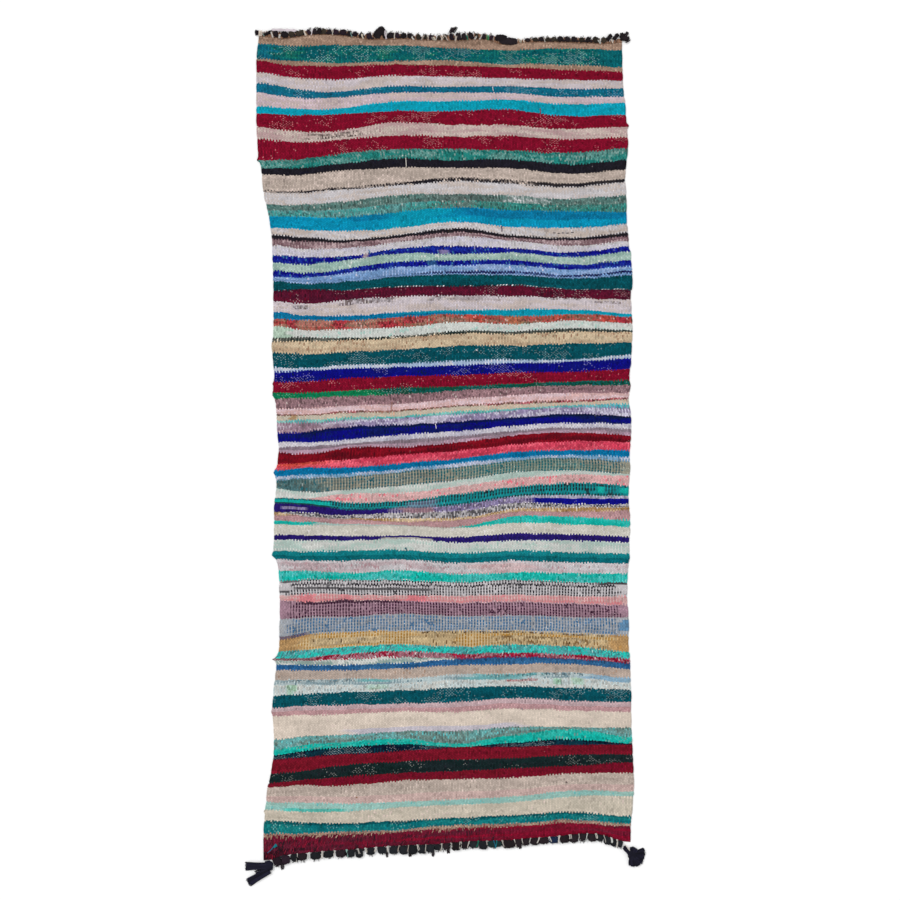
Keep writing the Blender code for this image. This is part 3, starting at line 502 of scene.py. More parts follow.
class Unevenness:
    """Smooth seeded unevenness over a plane, from -1 to 1."""

    SIDE = 128

    def __init__(self, seed: int, cell_x: float, cell_y: float) -> None:
        """Keep the lattice of seeded heights and the size of its cells."""
        self.heights = np.random.default_rng(seed).uniform(-1.0, 1.0, (self.SIDE, self.SIDE))
        self.cell = (cell_x, cell_y)

    def at(self, x: Array, y: Array) -> Array:
        """Read it at places: the four lattice heights around each, blended by eased shares."""
        u, v = np.asarray(x) / self.cell[0], np.asarray(y) / self.cell[1]
        column, row = np.floor(u).astype(int), np.floor(v).astype(int)
        s, t = smooth(u - column), smooth(v - row)
        right, up = (column + 1) % self.SIDE, (row + 1) % self.SIDE
        column, row = column % self.SIDE, row % self.SIDE
        low = blend(self.heights[row, column], self.heights[row, right], s)
        high = blend(self.heights[up, column], self.heights[up, right], s)
        return blend(low, high, t)


# --- shader maths ------------------------------------------------------------------------------------


class Socket:
    """An output of a shader node, on which Python's operators add the nodes that work them out."""

    def __init__(self, graph: "Graph", link: bpy.types.NodeSocket) -> None:
        """Keep the graph that the socket is in, and its output."""
        self.graph, self.link = graph, link

    def maths(self, operation: str, *others: Any, first: bool = True) -> "Socket":
        """Add a Math node.

        Args:
            operation: what the node works out.
            others: the other values of the sum.
            first: whether this socket comes before them.

        Returns:
            The node's output.
        """
        values = (self, *others) if first else (*others, self)
        return self.graph.node("ShaderNodeMath", {"operation": operation}, dict(enumerate(values)))

    __add__ = __radd__ = partialmethod(maths, "ADD")
    __sub__, __rsub__ = partialmethod(maths, "SUBTRACT"), partialmethod(maths, "SUBTRACT", first=False)
    __mul__ = __rmul__ = partialmethod(maths, "MULTIPLY")
    __truediv__ = partialmethod(maths, "DIVIDE")
    __mod__ = partialmethod(maths, "FLOORED_MODULO")
    __pow__ = partialmethod(maths, "POWER")
    __lt__ = partialmethod(maths, "LESS_THAN")  # 1 where this is less
    __gt__ = partialmethod(maths, "GREATER_THAN")  # 1 where this is more
    floor = partialmethod(maths, "FLOOR")
    most = partialmethod(maths, "MAXIMUM")  # the larger of the two

    def ease(self, low: Any, high: Any) -> "Socket":
        """Ease from 0 at low to 1 at high."""
        values = {"Value": self, "From Min": low, "From Max": high}
        return self.graph.node("ShaderNodeMapRange", {"interpolation_type": "SMOOTHSTEP"}, values)

    def part(self, name: str) -> "Socket":
        """Take another output of the same node."""
        return Socket(self.graph, self.link.node.outputs[name])


class Graph:
    """The nodes of one material."""

    def __init__(self, name: str) -> None:
        """Start a material with nothing but its output."""
        self.material = bpy.data.materials.new(name)
        self.material.use_nodes = True
        self.tree = self.material.node_tree
        self.tree.nodes.clear()

    def node(self, kind: str, settings: dict[str, Any], values: dict[Any, Any], output: Any = 0) -> Socket:
        """Add a node.

        Args:
            kind: the node's type.
            settings: its own settings, set first.
            values: a number, colour or socket for each input, by name or place.
            output: which output to give.

        Returns:
            That output.
        """
        made = self.tree.nodes.new(kind)
        for name, setting in settings.items():
            setattr(made, name, setting)
        for name, value in values.items():
            if isinstance(value, Socket):
                self.tree.links.new(value.link, made.inputs[name])
            else:
                made.inputs[name].default_value = value
        return Socket(self, made.outputs[output])

    def attribute(self, name: str, output: str = "Vector") -> Socket:
        """Read a mesh attribute."""
        return self.node("ShaderNodeAttribute", {"attribute_name": name}, {}, output)

    def join(self, x: Any, y: Any, z: Any = 0.0) -> Socket:
        """Make a vector of three numbers."""
        return self.node("ShaderNodeCombineXYZ", {}, {0: x, 1: y, 2: z})

    def split(self, vector: Socket) -> tuple[Socket, Socket, Socket]:
        """Take a vector's three numbers."""
        x = self.node("ShaderNodeSeparateXYZ", {}, {0: vector})
        return x, x.part("Y"), x.part("Z")

    def noise(self, vector: Any, scale: float, detail: float = 2.0) -> Socket:
        """Read smooth noise, mostly from 0.3 to 0.7."""
        return self.node("ShaderNodeTexNoise", {}, {"Vector": vector, "Scale": scale, "Detail": detail})

    def chance(self, vector: Socket) -> Socket:
        """Read a number from 0 to 1 that is random for each whole place."""
        return self.node("ShaderNodeTexWhiteNoise", {"noise_dimensions": "2D"}, {"Vector": vector})

    def mix(self, factor: Any, first: Any, second: Any) -> Socket:
        """Blend two colours."""
        return self.node("ShaderNodeMix", {"data_type": "RGBA"}, {0: factor, 6: first, 7: second}, 2)

    def scale(self, colour: Socket, factor: Any) -> Socket:
        """Make a colour lighter or darker."""
        return self.node("ShaderNodeVectorMath", {"operation": "SCALE"}, {0: colour, "Scale": factor})

    def finish(self, values: dict[str, Any]) -> bpy.types.Material:
        """Add the surface shader and give the material.

        Args:
            values: a number, colour or socket for each of the shader's inputs.

        Returns:
            The finished material.
        """
        surface = self.node("ShaderNodeBsdfPrincipled", {}, values)
        out = self.tree.nodes.new("ShaderNodeOutputMaterial")
        self.tree.links.new(surface.link, out.inputs["Surface"])
        return self.material

    def dress(
        self, colour: Socket, height: Socket, depth: float, rough: float, gloss: float
    ) -> bpy.types.Material:
        """Finish a rough surface.

        Args:
            colour: its colour.
            height: its relief, about from 0 to 1.
            depth: how deep the relief is, in metres.
            rough: the shader's roughness.
            gloss: how much it mirrors.

        Returns:
            The finished material.
        """
        normal = self.node("ShaderNodeBump", {}, {"Strength": 1.0, "Distance": depth, "Height": height})
        constants = {"Roughness": rough, "Specular IOR Level": gloss}
        return self.finish({**constants, "Base Color": colour, "Normal": normal})


@dataclass(frozen=True)
class RagWeave:
    """The cloth's finish: rag wefts packed over cotton warps, so that each pass shows as staggered beads."""

    roughness: float = 0.95
    gloss: float = 0.06
    bead_height: float = 0.0007  # in metres
    shade: float = 0.5  # painted shade: how much darker the gaps between beads are
    bead_variety: float = 0.46  # how much the tone changes from bead to bead
    calm_of_pale: float = 1.0  # how much less a pale rag varies than a dark one
    pass_variety: float = 0.24  # how much it changes from pass to pass
    run_variety: float = 1.1  # how much the rag's tone changes along a pass
    dark_tuft: float = 0.45  # how much darker the dark tufts of the rags are
    rib_light_and_shade: float = 0.14  # painted light and shade: how much lighter every second warp is, and the others darker, as if it stood out
    interlock: float = 0.2  # how far the beads of two wide bands reach into each other, where they do least
    slip: float = 0.5  # how unevenly they do it, in passes
    thread_glow: float = 3.6  # how much of the rag's own colour a bare warp takes on
    thread_cotton: float = 0.5  # how much of it is the warp's cotton
    spot_short: float = 4.6  # how short a bare warp's spot is
    spot_narrow: float = 2.5  # how narrow it is
    drift: float = 2.2  # how unevenly the passes are packed, in passes
    cloth_variety: float = 0.6  # how much the tone changes from place to place
    worn_gap_shade: float = 0.28  # painted shade: how much darker the rag is between bare warps where the cloth is worn
    chains: float = 0.35  # how far the bare warps stand in slanting chains
    mean_swell: float = 0.582  # a bead's height on average, as a share of its crown's
    check_passes: float = 11.0  # how many passes a row of checks lasts

    def material(self) -> bpy.types.Material:
        """Build the material.

        A bead belongs to one pass of weft and lies over one warp. The parity of the warp picks every
        second pass, which staggers the beads and makes the edges of the bands interlock. The place of
        the bead's middle, and not of the point, says which band's yarn the bead has.

        Returns:
            The material, which reads the cloth's own attributes.
        """
        g = Graph("rag_weave")
        warps, passes, _ = g.split(g.attribute("weave"))
        after_top, before_foot, _ = g.split(g.attribute("reach"))
        warp = warps.floor()
        drift = (g.noise(g.join(warp * 0.83, passes * 0.11), 1.0, 1.0) - 0.5) * self.drift
        passes, after_top, before_foot = passes + drift, after_top + drift, before_foot - drift
        parity = warp % 2.0
        run = (passes + parity) / 2.0
        bead = run.floor()
        along, over = run - bead, warps - warp
        middle = bead * 2.0 + 1.0 - parity
        step = middle - passes

        # the luck of each bead and each pass, and slower changes along the passes and over the cloth
        luck = g.chance(g.join(warp + 0.5, bead + 0.5))
        pass_luck = g.chance(g.join(middle + 0.5, 7.5))
        stretch = g.noise(g.join(warps * 0.034 + 17.0, middle * 0.17), 1.0, 1.0)
        long_runs = g.noise(g.join(warps * 0.045, middle * 1.37), 1.0, 3.0) * 0.6 + stretch * 0.5 - 0.05
        long_runs = long_runs + (luck - 0.5) * 0.08
        short_runs = g.noise(g.join(warps * 0.13 + 31.0, middle * 1.73), 1.0, 1.0) + (luck - 0.5) * 0.3
        field = g.noise(g.join(warps * 0.05, passes * 0.07), 1.0, 3.0)
        tuft = g.noise(g.join(warps * 0.3 + 11.0, middle * 0.83), 1.0, 1.0) + (luck - 0.5) * 0.24

        own, second = g.attribute("own_yarn", "Color"), g.attribute("second_yarn", "Color")
        above, below = g.attribute("above_yarn", "Color"), g.attribute("below_yarn", "Color")
        streak, check = own.part("Alpha"), second.part("Alpha")
        fleck, speck = above.part("Alpha"), below.part("Alpha")

        # where the second yarn shows: the bars of checks, long streaks and short dashes
        turned = g.chance(g.join((middle / self.check_passes).floor() + 0.5, 3.5)) > 0.5
        bar = ((middle + turned) % 2.0) * along.ease(0.02, 0.16) * (1.0 - along.ease(0.84, 0.98))
        bar = bar * (luck > 0.04) * (0.7 + short_runs.ease(0.35, 0.55) * 0.3)
        dashes = short_runs.ease(0.74 - speck * 0.51, 0.77 - speck * 0.51)
        share = (bar * check).most(long_runs.ease(0.46, 0.56) * streak).most(dashes * 0.9)
        colour = g.mix(share, own, second)

        # bare warps: a round spot between two beads, by chance and more where the cloth is worn
        joint = (run + 0.5).floor()
        off_along, off_over = (run - joint) * self.spot_short, (over - 0.5) * self.spot_narrow
        spot = 1.0 - (off_along * off_along + off_over * off_over).ease(0.4, 1.2)
        # where the cloth is worn: bare warps show there, and the rag between them gets painted shade
        wear_and_shade = (field + fleck * 0.3).ease(0.59, 0.84)
        slant = joint - (parity + warp) / 2.0
        chain = g.chance(g.join(slant + 0.5, ((warp + slant) / 4.0).floor() + 0.5))
        thread = chain * self.chains + g.chance(g.join(warp + 201.5, joint + 0.5)) * (1.0 - self.chains)
        bare = spot * (thread < wear_and_shade * 0.77) * (0.16 + fleck * 0.68 + luck * 0.3)
        cotton = (*Yarn.COTTON.linear(), 1.0)
        bare_warp = g.mix(self.thread_cotton, g.scale(colour, self.thread_glow), cotton)
        light = tuft.ease(0.79 - speck * 0.32, 0.86 - speck * 0.32) * speck.ease(0.04, 0.2) * 0.5
        colour = g.mix(light, g.mix(bare, colour, bare_warp), cotton)

        # the neighbours' yarns, where a bead reaches over the edge of its band
        grip = g.noise(g.join(warps * 0.07 + 5.0, passes * 0.31), 1.0, 1.0).ease(0.42, 0.64)
        grip = (grip * 0.66 + self.interlock).most(1.0 - (after_top + before_foot).ease(2.6, 4.2))
        slip = (g.chance(g.join(warp + 77.5, bead + 9.5)) - 0.5) * self.slip
        reach = (step + slip) * grip
        colour = g.mix((after_top + reach) < 0.0, colour, above)
        colour = g.mix((before_foot - reach) < 0.0, colour, below)

        # painted light and shade: darker in the gaps between beads, lighter and darker on alternate warps,
        # darker between bare warps where worn; with tone that differs at random by bead, pass, run, tuft and
        # place
        round_over = (over * math.pi).maths("SINE")
        round_along = (along * math.pi).maths("SINE")
        swell = (round_over * round_along).most(0.0) ** 0.5
        lively = 1.0 - g.node("ShaderNodeRGBToBW", {}, {0: own}) * self.calm_of_pale
        # painted shade in the gaps between beads: less of it on a pale rag, with the same mean
        gap = (self.mean_swell - swell) * (lively * 0.9 + 0.1) + (1.0 - self.mean_swell)
        tone = 1.0 - gap * self.shade
        tone = tone * (1.0 + (luck - 0.5) * (self.bead_variety + speck * 1.6) * lively)
        tone = tone * (1.0 + (pass_luck - 0.5) * self.pass_variety * lively)
        tone = tone * (1.0 + (long_runs - 0.5) * self.run_variety * (lively + 0.1))
        dark = 1.0 - tuft.ease(0.24 + speck * 0.4, 0.33 + speck * 0.4)
        tone = tone * (1.0 - self.dark_tuft * dark * (lively * 0.5 + speck * 1.6 + 0.2))
        # painted light and shade: every second warp lighter and the others darker, as if they were raised
        # ribs
        tone = tone * (1.0 + (parity - 0.5) * short_runs.ease(0.4, 0.6) * self.rib_light_and_shade * lively)
        # painted shade on the rag between bare warps where worn, and tone that differs at random over the
        # cloth
        tone = tone * (1.0 + (field - 0.5) * self.cloth_variety - wear_and_shade * (1.0 - bare) * self.worn_gap_shade)
        colour = g.scale(colour, tone)

        place_on = g.node("ShaderNodeTexCoord", {}, {}, "Object")
        height = swell + g.noise(place_on, 1500.0, 2.0) * 0.25  # with the fibres
        return g.dress(colour, height, self.bead_height, self.roughness, self.gloss)


@dataclass(frozen=True)
class YarnFinish:
    """The finish of loose yarn: each strand has its own colour, with fibres and uneven dye."""

    name: str
    roughness: float = 0.85
    gloss: float = 0.2
    fibre_height: float = 0.0004  # in metres

    def material(self) -> bpy.types.Material:
        """Build the material, which reads the strand's own colour from the mesh."""
        g = Graph(self.name)
        place_on = g.node("ShaderNodeTexCoord", {}, {}, "Object")
        fibre = g.noise(place_on, 900.0, 3.0)
        dye = g.noise(place_on, 60.0, 2.0)
        colour = g.scale(g.attribute("tone", "Color"), 0.55 + fibre * 0.5 + dye * 0.4)
        height = g.noise(place_on, 1400.0, 2.0)
        return g.dress(colour, height, self.fibre_height, self.roughness, self.gloss)


# --- meshes ------------------------------------------------------------------------------------------


@dataclass
class Surface:
    """Surfaces gathered into one mesh, with the colour of each face."""

    points: list[Array] = field(default_factory=list)
    corners: list[Array] = field(default_factory=list)
    sizes: list[Array] = field(default_factory=list)
    tones: list[Array] = field(default_factory=list)
    count: int = 0

    def add(self, points: Array, faces: Sequence[Array], tone: Array) -> None:
        """Add points and blocks of faces of equal size.

        Args:
            points: x, y and z of each point, in metres.
            faces: arrays of point numbers, one row a face.
            tone: the linear colour of all these faces, or one for each face.
        """
        for block in faces:
            block = np.asarray(block)
            self.corners.append((block + self.count).ravel())
            self.sizes.append(np.full(len(block), block.shape[1]))
        total = sum(len(block) for block in faces)
        self.tones.append(np.broadcast_to(tone, (total, 3)))
        self.points.append(points.reshape(-1, 3))
        self.count += len(self.points[-1])

    def piece(self, name: str, material: bpy.types.Material) -> bpy.types.Object:
        """Make the object, smooth shaded, with its colours as the attribute `tone`."""
        parts = (np.concatenate(values) for values in (self.points, self.corners, self.sizes))
        made = make_piece(name, *parts, material)
        tones = np.concatenate(self.tones)
        store(made, "tone", "FLOAT_COLOR", "FACE", np.column_stack((tones, np.ones(len(tones)))))
        return made


def make_piece(
    name: str, points: Array, corners: Array, sizes: Array, material: bpy.types.Material
) -> bpy.types.Object:
    """Put points and faces into a mesh and link its object.

    Args:
        name: the piece's name.
        points: x, y and z of each point, in metres.
        corners: the point numbers of all faces, one after another.
        sizes: how many corners each face has.
        material: the piece's finish.

    Returns:
        The object, which stands at the origin.
    """
    mesh = bpy.data.meshes.new(name)
    mesh.vertices.add(len(points))
    mesh.vertices.foreach_set("co", points.astype(np.float32).ravel())
    mesh.loops.add(len(corners))
    mesh.loops.foreach_set("vertex_index", corners.astype(np.int32))
    mesh.polygons.add(len(sizes))
    starts = np.concatenate(([0], np.cumsum(sizes)[:-1]))
    mesh.polygons.foreach_set("loop_start", starts.astype(np.int32))
    mesh.update(calc_edges=True)
    mesh.validate()
    mesh.shade_smooth()
    mesh.materials.append(material)
    made = bpy.data.objects.new(name, mesh)
    bpy.context.scene.collection.objects.link(made)
    return made


def store(piece: bpy.types.Object, name: str, kind: str, domain: str, values: Array) -> None:
    """Keep values on a mesh, one row for each face or corner, for its material to read."""
    made = piece.data.attributes.new(name, kind, domain)
    made.data.foreach_set("color" if kind == "FLOAT_COLOR" else "vector", values.astype(np.float32).ravel())


def grid_faces(rows: int, columns: int, wrap: bool = False) -> Array:
    """Number the faces of a grid of points, wound so that they face up where x and y grow along it.

    Args:
        rows: rows of points.
        columns: points in a row.
        wrap: whether the last column joins the first.

    Returns:
        Four point numbers for each face.
    """
    across = columns if wrap else columns - 1
    row, column = np.meshgrid(np.arange(rows - 1), np.arange(across), indexing="ij")
    after = (column + 1) % columns
    first, second = row * columns + column, row * columns + after
    return np.stack((first, second, second + columns, first + columns), -1).reshape(-1, 4)


def closed_grid(rows: int, columns: int) -> list[Array]:
    """Number the faces of a grid that wraps round, with a face to close each end of it."""
    first = np.arange(columns)[None, :]
    return [grid_faces(rows, columns, wrap=True)[:, ::-1], first, first[:, ::-1] + (rows - 1) * columns]


def tubes(
    paths: Array, radii: Array, sides: int = 6, plies: int = 2, depth: float = 0.14, lay: float = 0.012
) -> tuple[Array, list[Array]]:
    """Carry a round section along each path.

    Each section is a circle in the plane across the path, whose radius swells `plies` times round it; the
    swell turns as it goes along, once in `lay` metres, as the plies of a yarn do. Both ends are closed.

    Args:
        paths: for each strand, its points, in metres.
        radii: the radius at each point, in metres.
        sides: how many points a section has.
        plies: how many swells a section has.
        depth: how much a swell adds, as a share of the radius.
        lay: the length of one turn of the plies.

    Returns:
        The points and the blocks of faces.
    """
    strands, steps, _ = paths.shape
    along = np.gradient(paths, axis=1)
    along /= np.linalg.norm(along, axis=2, keepdims=True) + 1e-12
    up = np.where(np.abs(along[..., 2:3]) > 0.9, np.array((1.0, 0.0, 0.0)), np.array((0.0, 0.0, 1.0)))
    side = np.cross(along, up)
    side /= np.linalg.norm(side, axis=2, keepdims=True) + 1e-12
    rise = np.cross(side, along)
    gone = np.cumsum(np.linalg.norm(np.diff(paths, axis=1, prepend=paths[:, :1]), axis=2), axis=1)
    turn = np.arange(sides) * (2 * math.pi / sides)
    swell = 1.0 + depth * np.cos(plies * (turn - gone[..., None] * (2 * math.pi / lay / plies)))
    radius = np.broadcast_to(radii, (strands, steps))[..., None] * swell
    ring = side[:, :, None, :] * np.cos(turn)[:, None] + rise[:, :, None, :] * np.sin(turn)[:, None]
    points = paths[:, :, None, :] + radius[..., None] * ring
    offset = np.arange(strands)[:, None, None] * (steps * sides)
    return points, [(faces + offset).reshape(-1, faces.shape[1]) for faces in closed_grid(steps, sides)]


# --- the rug -----------------------------------------------------------------------------------------


class Nib(NamedTuple):
    """A turn of weft that stands out of a selvedge."""

    on_left: bool
    down: float
    reach: float


@dataclass
class RugCloth:
    """The woven cloth: one closed sheet whose face follows the bands. Its sizes are in mm."""

    thickness: float = 5.0
    groove: float = 0.8  # along the edges of the bands
    lift: float = 0.15  # of the underside over the floor
    edge_radius: float = 3.5
    row_step: float = 7.2  # between two rows of the face's points
    column_step: float = 4.95
    wander: float = 1.7  # of the rows
    calm: float = 14.0  # over what length from the ends that begins
    scallop: float = 1.2  # how far the selvedges draw in at the edges of the bands
    rim_height: float = 0.35  # of its foot, as a share of the thickness
    plain_margin: float = 35.0  # how far from a selvedge the checks begin
    plain_fade: float = 16.0  # over what width they do
    patch_second: float = 0.6  # how much of a patch's yarn goes into the band's second yarn
    nib_width: float = 6.0
    under_columns: int = 13  # of points
    least_depth: float = 0.9  # of a band that is there
    nibs: tuple[Nib, ...] = chart(
        Nib,
        (True, 388, 10), (True, 1061, 4), (True, 1090, 3), (True, 1324, 5), (True, 1573, 4), (True, 1888, 6),
        (True, 2344, 5), (False, 287, 8), (False, 668, 4), (False, 1067, 3),
    )

    def __post_init__(self) -> None:
        """Work out the columns and rows of the face, and the passes of weft in each band."""
        middle = np.linspace(0.0, 1.0, int(CLOTH_WIDTH / self.column_step))
        rim = np.array((0.0, 0.7, 2.0, 3.6)) / CLOTH_WIDTH
        self.shares = np.unique(np.concatenate((rim, middle[2:-2], 1.0 - rim)))
        edges = [self.along_warps(np.array(band.edge)) for band in BANDS[:-1]]
        first, last = (blend(band.left, band.right, self.shares) for band in (BANDS[0], BANDS[-1]))
        self.edges = np.array([end_line(UPPER_END, first), *edges, end_line(LOWER_END, last)])
        self.edges = np.maximum.accumulate(self.edges, axis=0)
        depth = np.diff(self.edges, axis=0)
        spacing = np.array([CHECK_SPACING if band.look is Look.CHECKED else PICK_SPACING for band in BANDS])
        dotted = np.array([band.look is Look.DOTTED for band in BANDS])
        passes = np.maximum(2, np.round(np.quantile(depth, 0.8, axis=1) / spacing))
        self.passes_in = np.where(dotted, 1, passes).astype(int)
        self.first_pass = np.concatenate(([0], np.cumsum(self.passes_in))) + 0.5
        rows_in = np.maximum(2, np.round(depth.mean(axis=1) / self.row_step)).astype(int)
        self.row_band = np.append(np.repeat(np.arange(len(BANDS)), rows_in), len(BANDS) - 1)
        self.row_part = np.concatenate([*(np.arange(count) / count for count in rows_in), [1.0]])

    def along_warps(self, heights: Array) -> Array:
        """Read a smooth curve through the heights on the warp lines, at each column of the cloth.

        Between two lines it is the cubic that meets both heights with the mean slopes of the lines' gaps.

        Args:
            heights: a number for each warp line.

        Returns:
            A number for each column.
        """
        lines = np.array(WARP_LINES)
        slopes = np.gradient(heights.astype(float), lines)
        span = np.clip(np.searchsorted(lines, self.shares) - 1, 0, len(lines) - 2)
        width = lines[span + 1] - lines[span]
        t = np.clip((self.shares - lines[span]) / width, 0.0, 1.0)
        start = (1 + 2 * t) * (1 - t) ** 2 * heights[span] + t * (1 - t) ** 2 * width * slopes[span]
        return start + t**2 * (3 - 2 * t) * heights[span + 1] - t**2 * (1 - t) * width * slopes[span + 1]

    def places(self) -> tuple[Array, Array]:
        """Work out where the face's points lie, in mm.

        Down is each band's upper edge and its lower edge blended by the row's share of the band. Across
        runs evenly between the selvedges, which pass through each band's own and draw in at its edges.
        Away from the rim the points wander a little with smooth unevenness.

        Returns:
            Across and down, each with a row for each row of points.
        """
        band, part = self.row_band, self.row_part[:, None]
        down = blend(self.edges[band], self.edges[band + 1], part)
        spot = band + self.row_part
        middles = np.arange(len(BANDS)) + 0.5
        pinch = self.scallop * np.abs(2 * self.row_part - 1) ** 3
        jitter = np.random.default_rng(5).uniform(-0.5, 0.5, (2, len(band)))
        left = np.interp(spot, middles, [b.left for b in BANDS]) + pinch + jitter[0]
        right = np.interp(spot, middles, [b.right for b in BANDS]) - pinch + jitter[1]
        for nib in self.nibs:
            rim = down[:, 0] if nib.on_left else down[:, -1]
            push = nib.reach * np.exp(-(((rim - nib.down) / self.nib_width) ** 2))
            left -= push * nib.on_left
            right += push * (not nib.on_left)
        across = left[:, None] + self.shares * (right - left)[:, None]
        inside = smooth((down - self.edges[0]) / self.calm) * smooth((self.edges[-1] - down) / self.calm)
        drift = Unevenness(11, 38.0, 26.0).at(across, down)
        drift = drift + 0.6 * Unevenness(12, 13.0, 22.0).at(across, down)
        return across, down + self.wander * drift * inside

    def heights(self, across: Array, down: Array) -> Array:
        """Work out the height of the face, in mm.

        It is the thickness, less a groove at the edges of each band with the shape of a flattened arch,
        plus soft lumps. Near the rim it falls along a quarter circle.

        Args:
            across: how far across each point of the face is, in mm.
            down: how far down it is.

        Returns:
            A height for each point.
        """
        arch = np.sqrt(np.clip(1.0 - np.abs(2.0 * self.row_part - 1.0) ** 3, 0.0, 1.0))[:, None]
        broad, small = Unevenness(21, 60.0, 45.0), Unevenness(22, 16.0, 8.0)
        lumps = 0.35 * broad.at(across, down) + 0.22 * small.at(across, down)
        face = self.thickness - self.groove * (1.0 - arch) + lumps
        from_side = np.minimum(across - across[:, :1], across[:, -1:] - across)
        from_end = np.minimum(down - down[:1], down[-1:] - down)
        near = np.clip(np.minimum(from_side, from_end) / self.edge_radius, 0.0, 1.0)
        low = self.thickness * self.rim_height
        return low + (face - low) * np.sqrt(np.clip(1.0 - (1.0 - near) ** 2, 0.0, 1.0))

    def bands_at(self, rows: Array, columns: Array) -> tuple[Array, Array, Array]:
        """Find the band of each face, and the nearest bands above and below that are there.

        A face belongs to the last band that has not died out by then, or else to the next one.

        Args:
            rows: the row of each face.
            columns: the column of each face.

        Returns:
            The numbers of the three bands of each face, from 0.
        """
        depth = np.diff(self.edges, axis=0)
        there = (depth[:, 1:] + depth[:, :-1]) / 2 > self.least_depth
        numbers, last = np.arange(len(BANDS))[:, None], len(BANDS) - 1
        seen = np.maximum.accumulate(np.where(there, numbers, -1), axis=0)
        coming = np.minimum.accumulate(np.where(there, numbers, last + 1)[::-1], axis=0)[::-1]
        band = self.row_band[rows]
        own = np.where(seen[band, columns] >= 0, seen[band, columns], coming[band, columns])
        above = np.where(own > 0, seen[np.maximum(own - 1, 0), columns], own)
        below = np.where(own < last, coming[np.minimum(own + 1, last), columns], own)
        return own, np.where(above >= 0, above, own), np.where(below <= last, below, own)

    def yarns(self, across: Array, rows: Array, columns: Array) -> dict[str, Array]:
        """Choose the yarns of each face: those of its bands, with the patches over them.

        Args:
            across: how far across each face is, in mm.
            rows: the row of each face.
            columns: the column of each face.

        Returns:
            The colours by the names of the attributes, with the numbers of the band's look as alphas.
        """
        own, above, below = self.bands_at(rows, columns)
        main = dyes(band.yarn for band in BANDS)
        colour, above_colour, below_colour = main[own], main[above], main[below]
        second = dyes(band.second for band in BANDS)[own]
        manner = np.array([band.look.value for band in BANDS])[own]
        same = self.row_band[rows] == self.row_band[rows + 1]
        part = (self.row_part[rows] + np.where(same, self.row_part[rows + 1], 1.0)) / 2
        ragged = np.random.default_rng(8).uniform(-0.8, 0.8, (2, len(self.row_band)))[:, rows]
        for patch in PATCHES:
            reach = smooth((across - patch.start) / patch.fade + 0.5 + ragged[0])
            reach = reach * smooth((patch.stop - across) / patch.fade + 0.5 + ragged[1]) * patch.strength
            here = (own == patch.band - 1) & (part >= patch.top) & (part <= patch.foot)
            amount = np.where(here, reach, 0.0)[:, None]
            tint = patch.yarn.linear()
            if patch.look is not None:
                manner = blend(manner, np.array(patch.look.value), amount)
            if not patch.ground:
                second = blend(second, tint, amount)
                continue
            colour = blend(colour, tint, amount)
            second = blend(second, tint, amount * self.patch_second)
            if patch.foot > 0.9:
                amount = np.where(above == patch.band - 1, reach, 0.0)[:, None]
                above_colour = blend(above_colour, tint, amount)
            if patch.top < 0.1:
                amount = np.where(below == patch.band - 1, reach, 0.0)[:, None]
                below_colour = blend(below_colour, tint, amount)
        rim = np.minimum(columns, len(self.shares) - 2 - columns) * self.column_step
        manner[:, 1] *= smooth((rim - self.plain_margin) / self.plain_fade + 0.5 + ragged[0])
        names, colours = ("own", "second", "above", "below"), (colour, second, above_colour, below_colour)
        return {f"{n}_yarn": np.column_stack((c, m)) for n, c, m in zip(names, colours, manner.T)}

    def build(self) -> bpy.types.Object:
        """Make the cloth: the face, a coarser underside and the rim between them.

        The sides are quads, and each end is a row of faces that join many points of the face to two of
        the underside.

        Returns:
            The cloth, which rides and stands for its solid.
        """
        across, down = self.places()
        rows, columns = across.shape
        face = place(across, down, self.heights(across, down))
        picked = np.unique(np.linspace(0, columns - 1, self.under_columns).astype(int))
        under = face[:, picked].copy()
        under[..., 2] = self.lift * MM
        numbers = np.arange(rows * columns).reshape(rows, columns)
        below = numbers.size + np.arange(rows * len(picked)).reshape(rows, len(picked))
        quads = [grid_faces(rows, columns)[:, ::-1], grid_faces(rows, len(picked)) + numbers.size]
        for rim, foot in ((numbers[:, 0], below[:, 0]), (numbers[::-1, -1], below[::-1, -1])):
            quads.append(np.stack((rim[:-1], rim[1:], foot[1:], foot[:-1]), -1))
        ends = []
        for row in (0, -1):
            for k, (left, right) in enumerate(zip(picked[:-1], picked[1:])):
                loop = np.concatenate((numbers[row, left : right + 1][::-1], below[row, k : k + 2]))
                ends.append(loop if row == 0 else loop[::-1])
        quads = np.concatenate(quads)
        corners = np.concatenate((quads.ravel(), *ends))
        sizes = np.concatenate((np.full(len(quads), 4), [len(loop) for loop in ends]))
        points = np.concatenate((face.reshape(-1, 3), under.reshape(-1, 3)))
        cloth = make_piece("rug_cloth_face", points, corners, sizes, RagWeave().material())

        # the row and column of each face, for its yarns
        each, count = np.arange(rows - 1), len(picked) - 1
        face_rows = (np.repeat(each, columns - 1), np.repeat(each, count), each, each[::-1])
        in_row = np.concatenate((*face_rows, np.zeros(count, int), np.full(count, rows - 2)))
        face_columns = (np.tile(np.arange(columns - 1), rows - 1), np.tile(picked[:-1], rows - 1))
        side_columns = (np.zeros(rows - 1, int), np.full(rows - 1, columns - 2))
        in_column = np.concatenate((*face_columns, *side_columns, picked[:-1], picked[:-1]))
        middle = (across[in_row, in_column] + across[in_row, in_column + 1]) / 2
        for name, values in self.yarns(middle, in_row, in_column).items():
            store(cloth, name, "FLOAT_COLOR", "FACE", values)

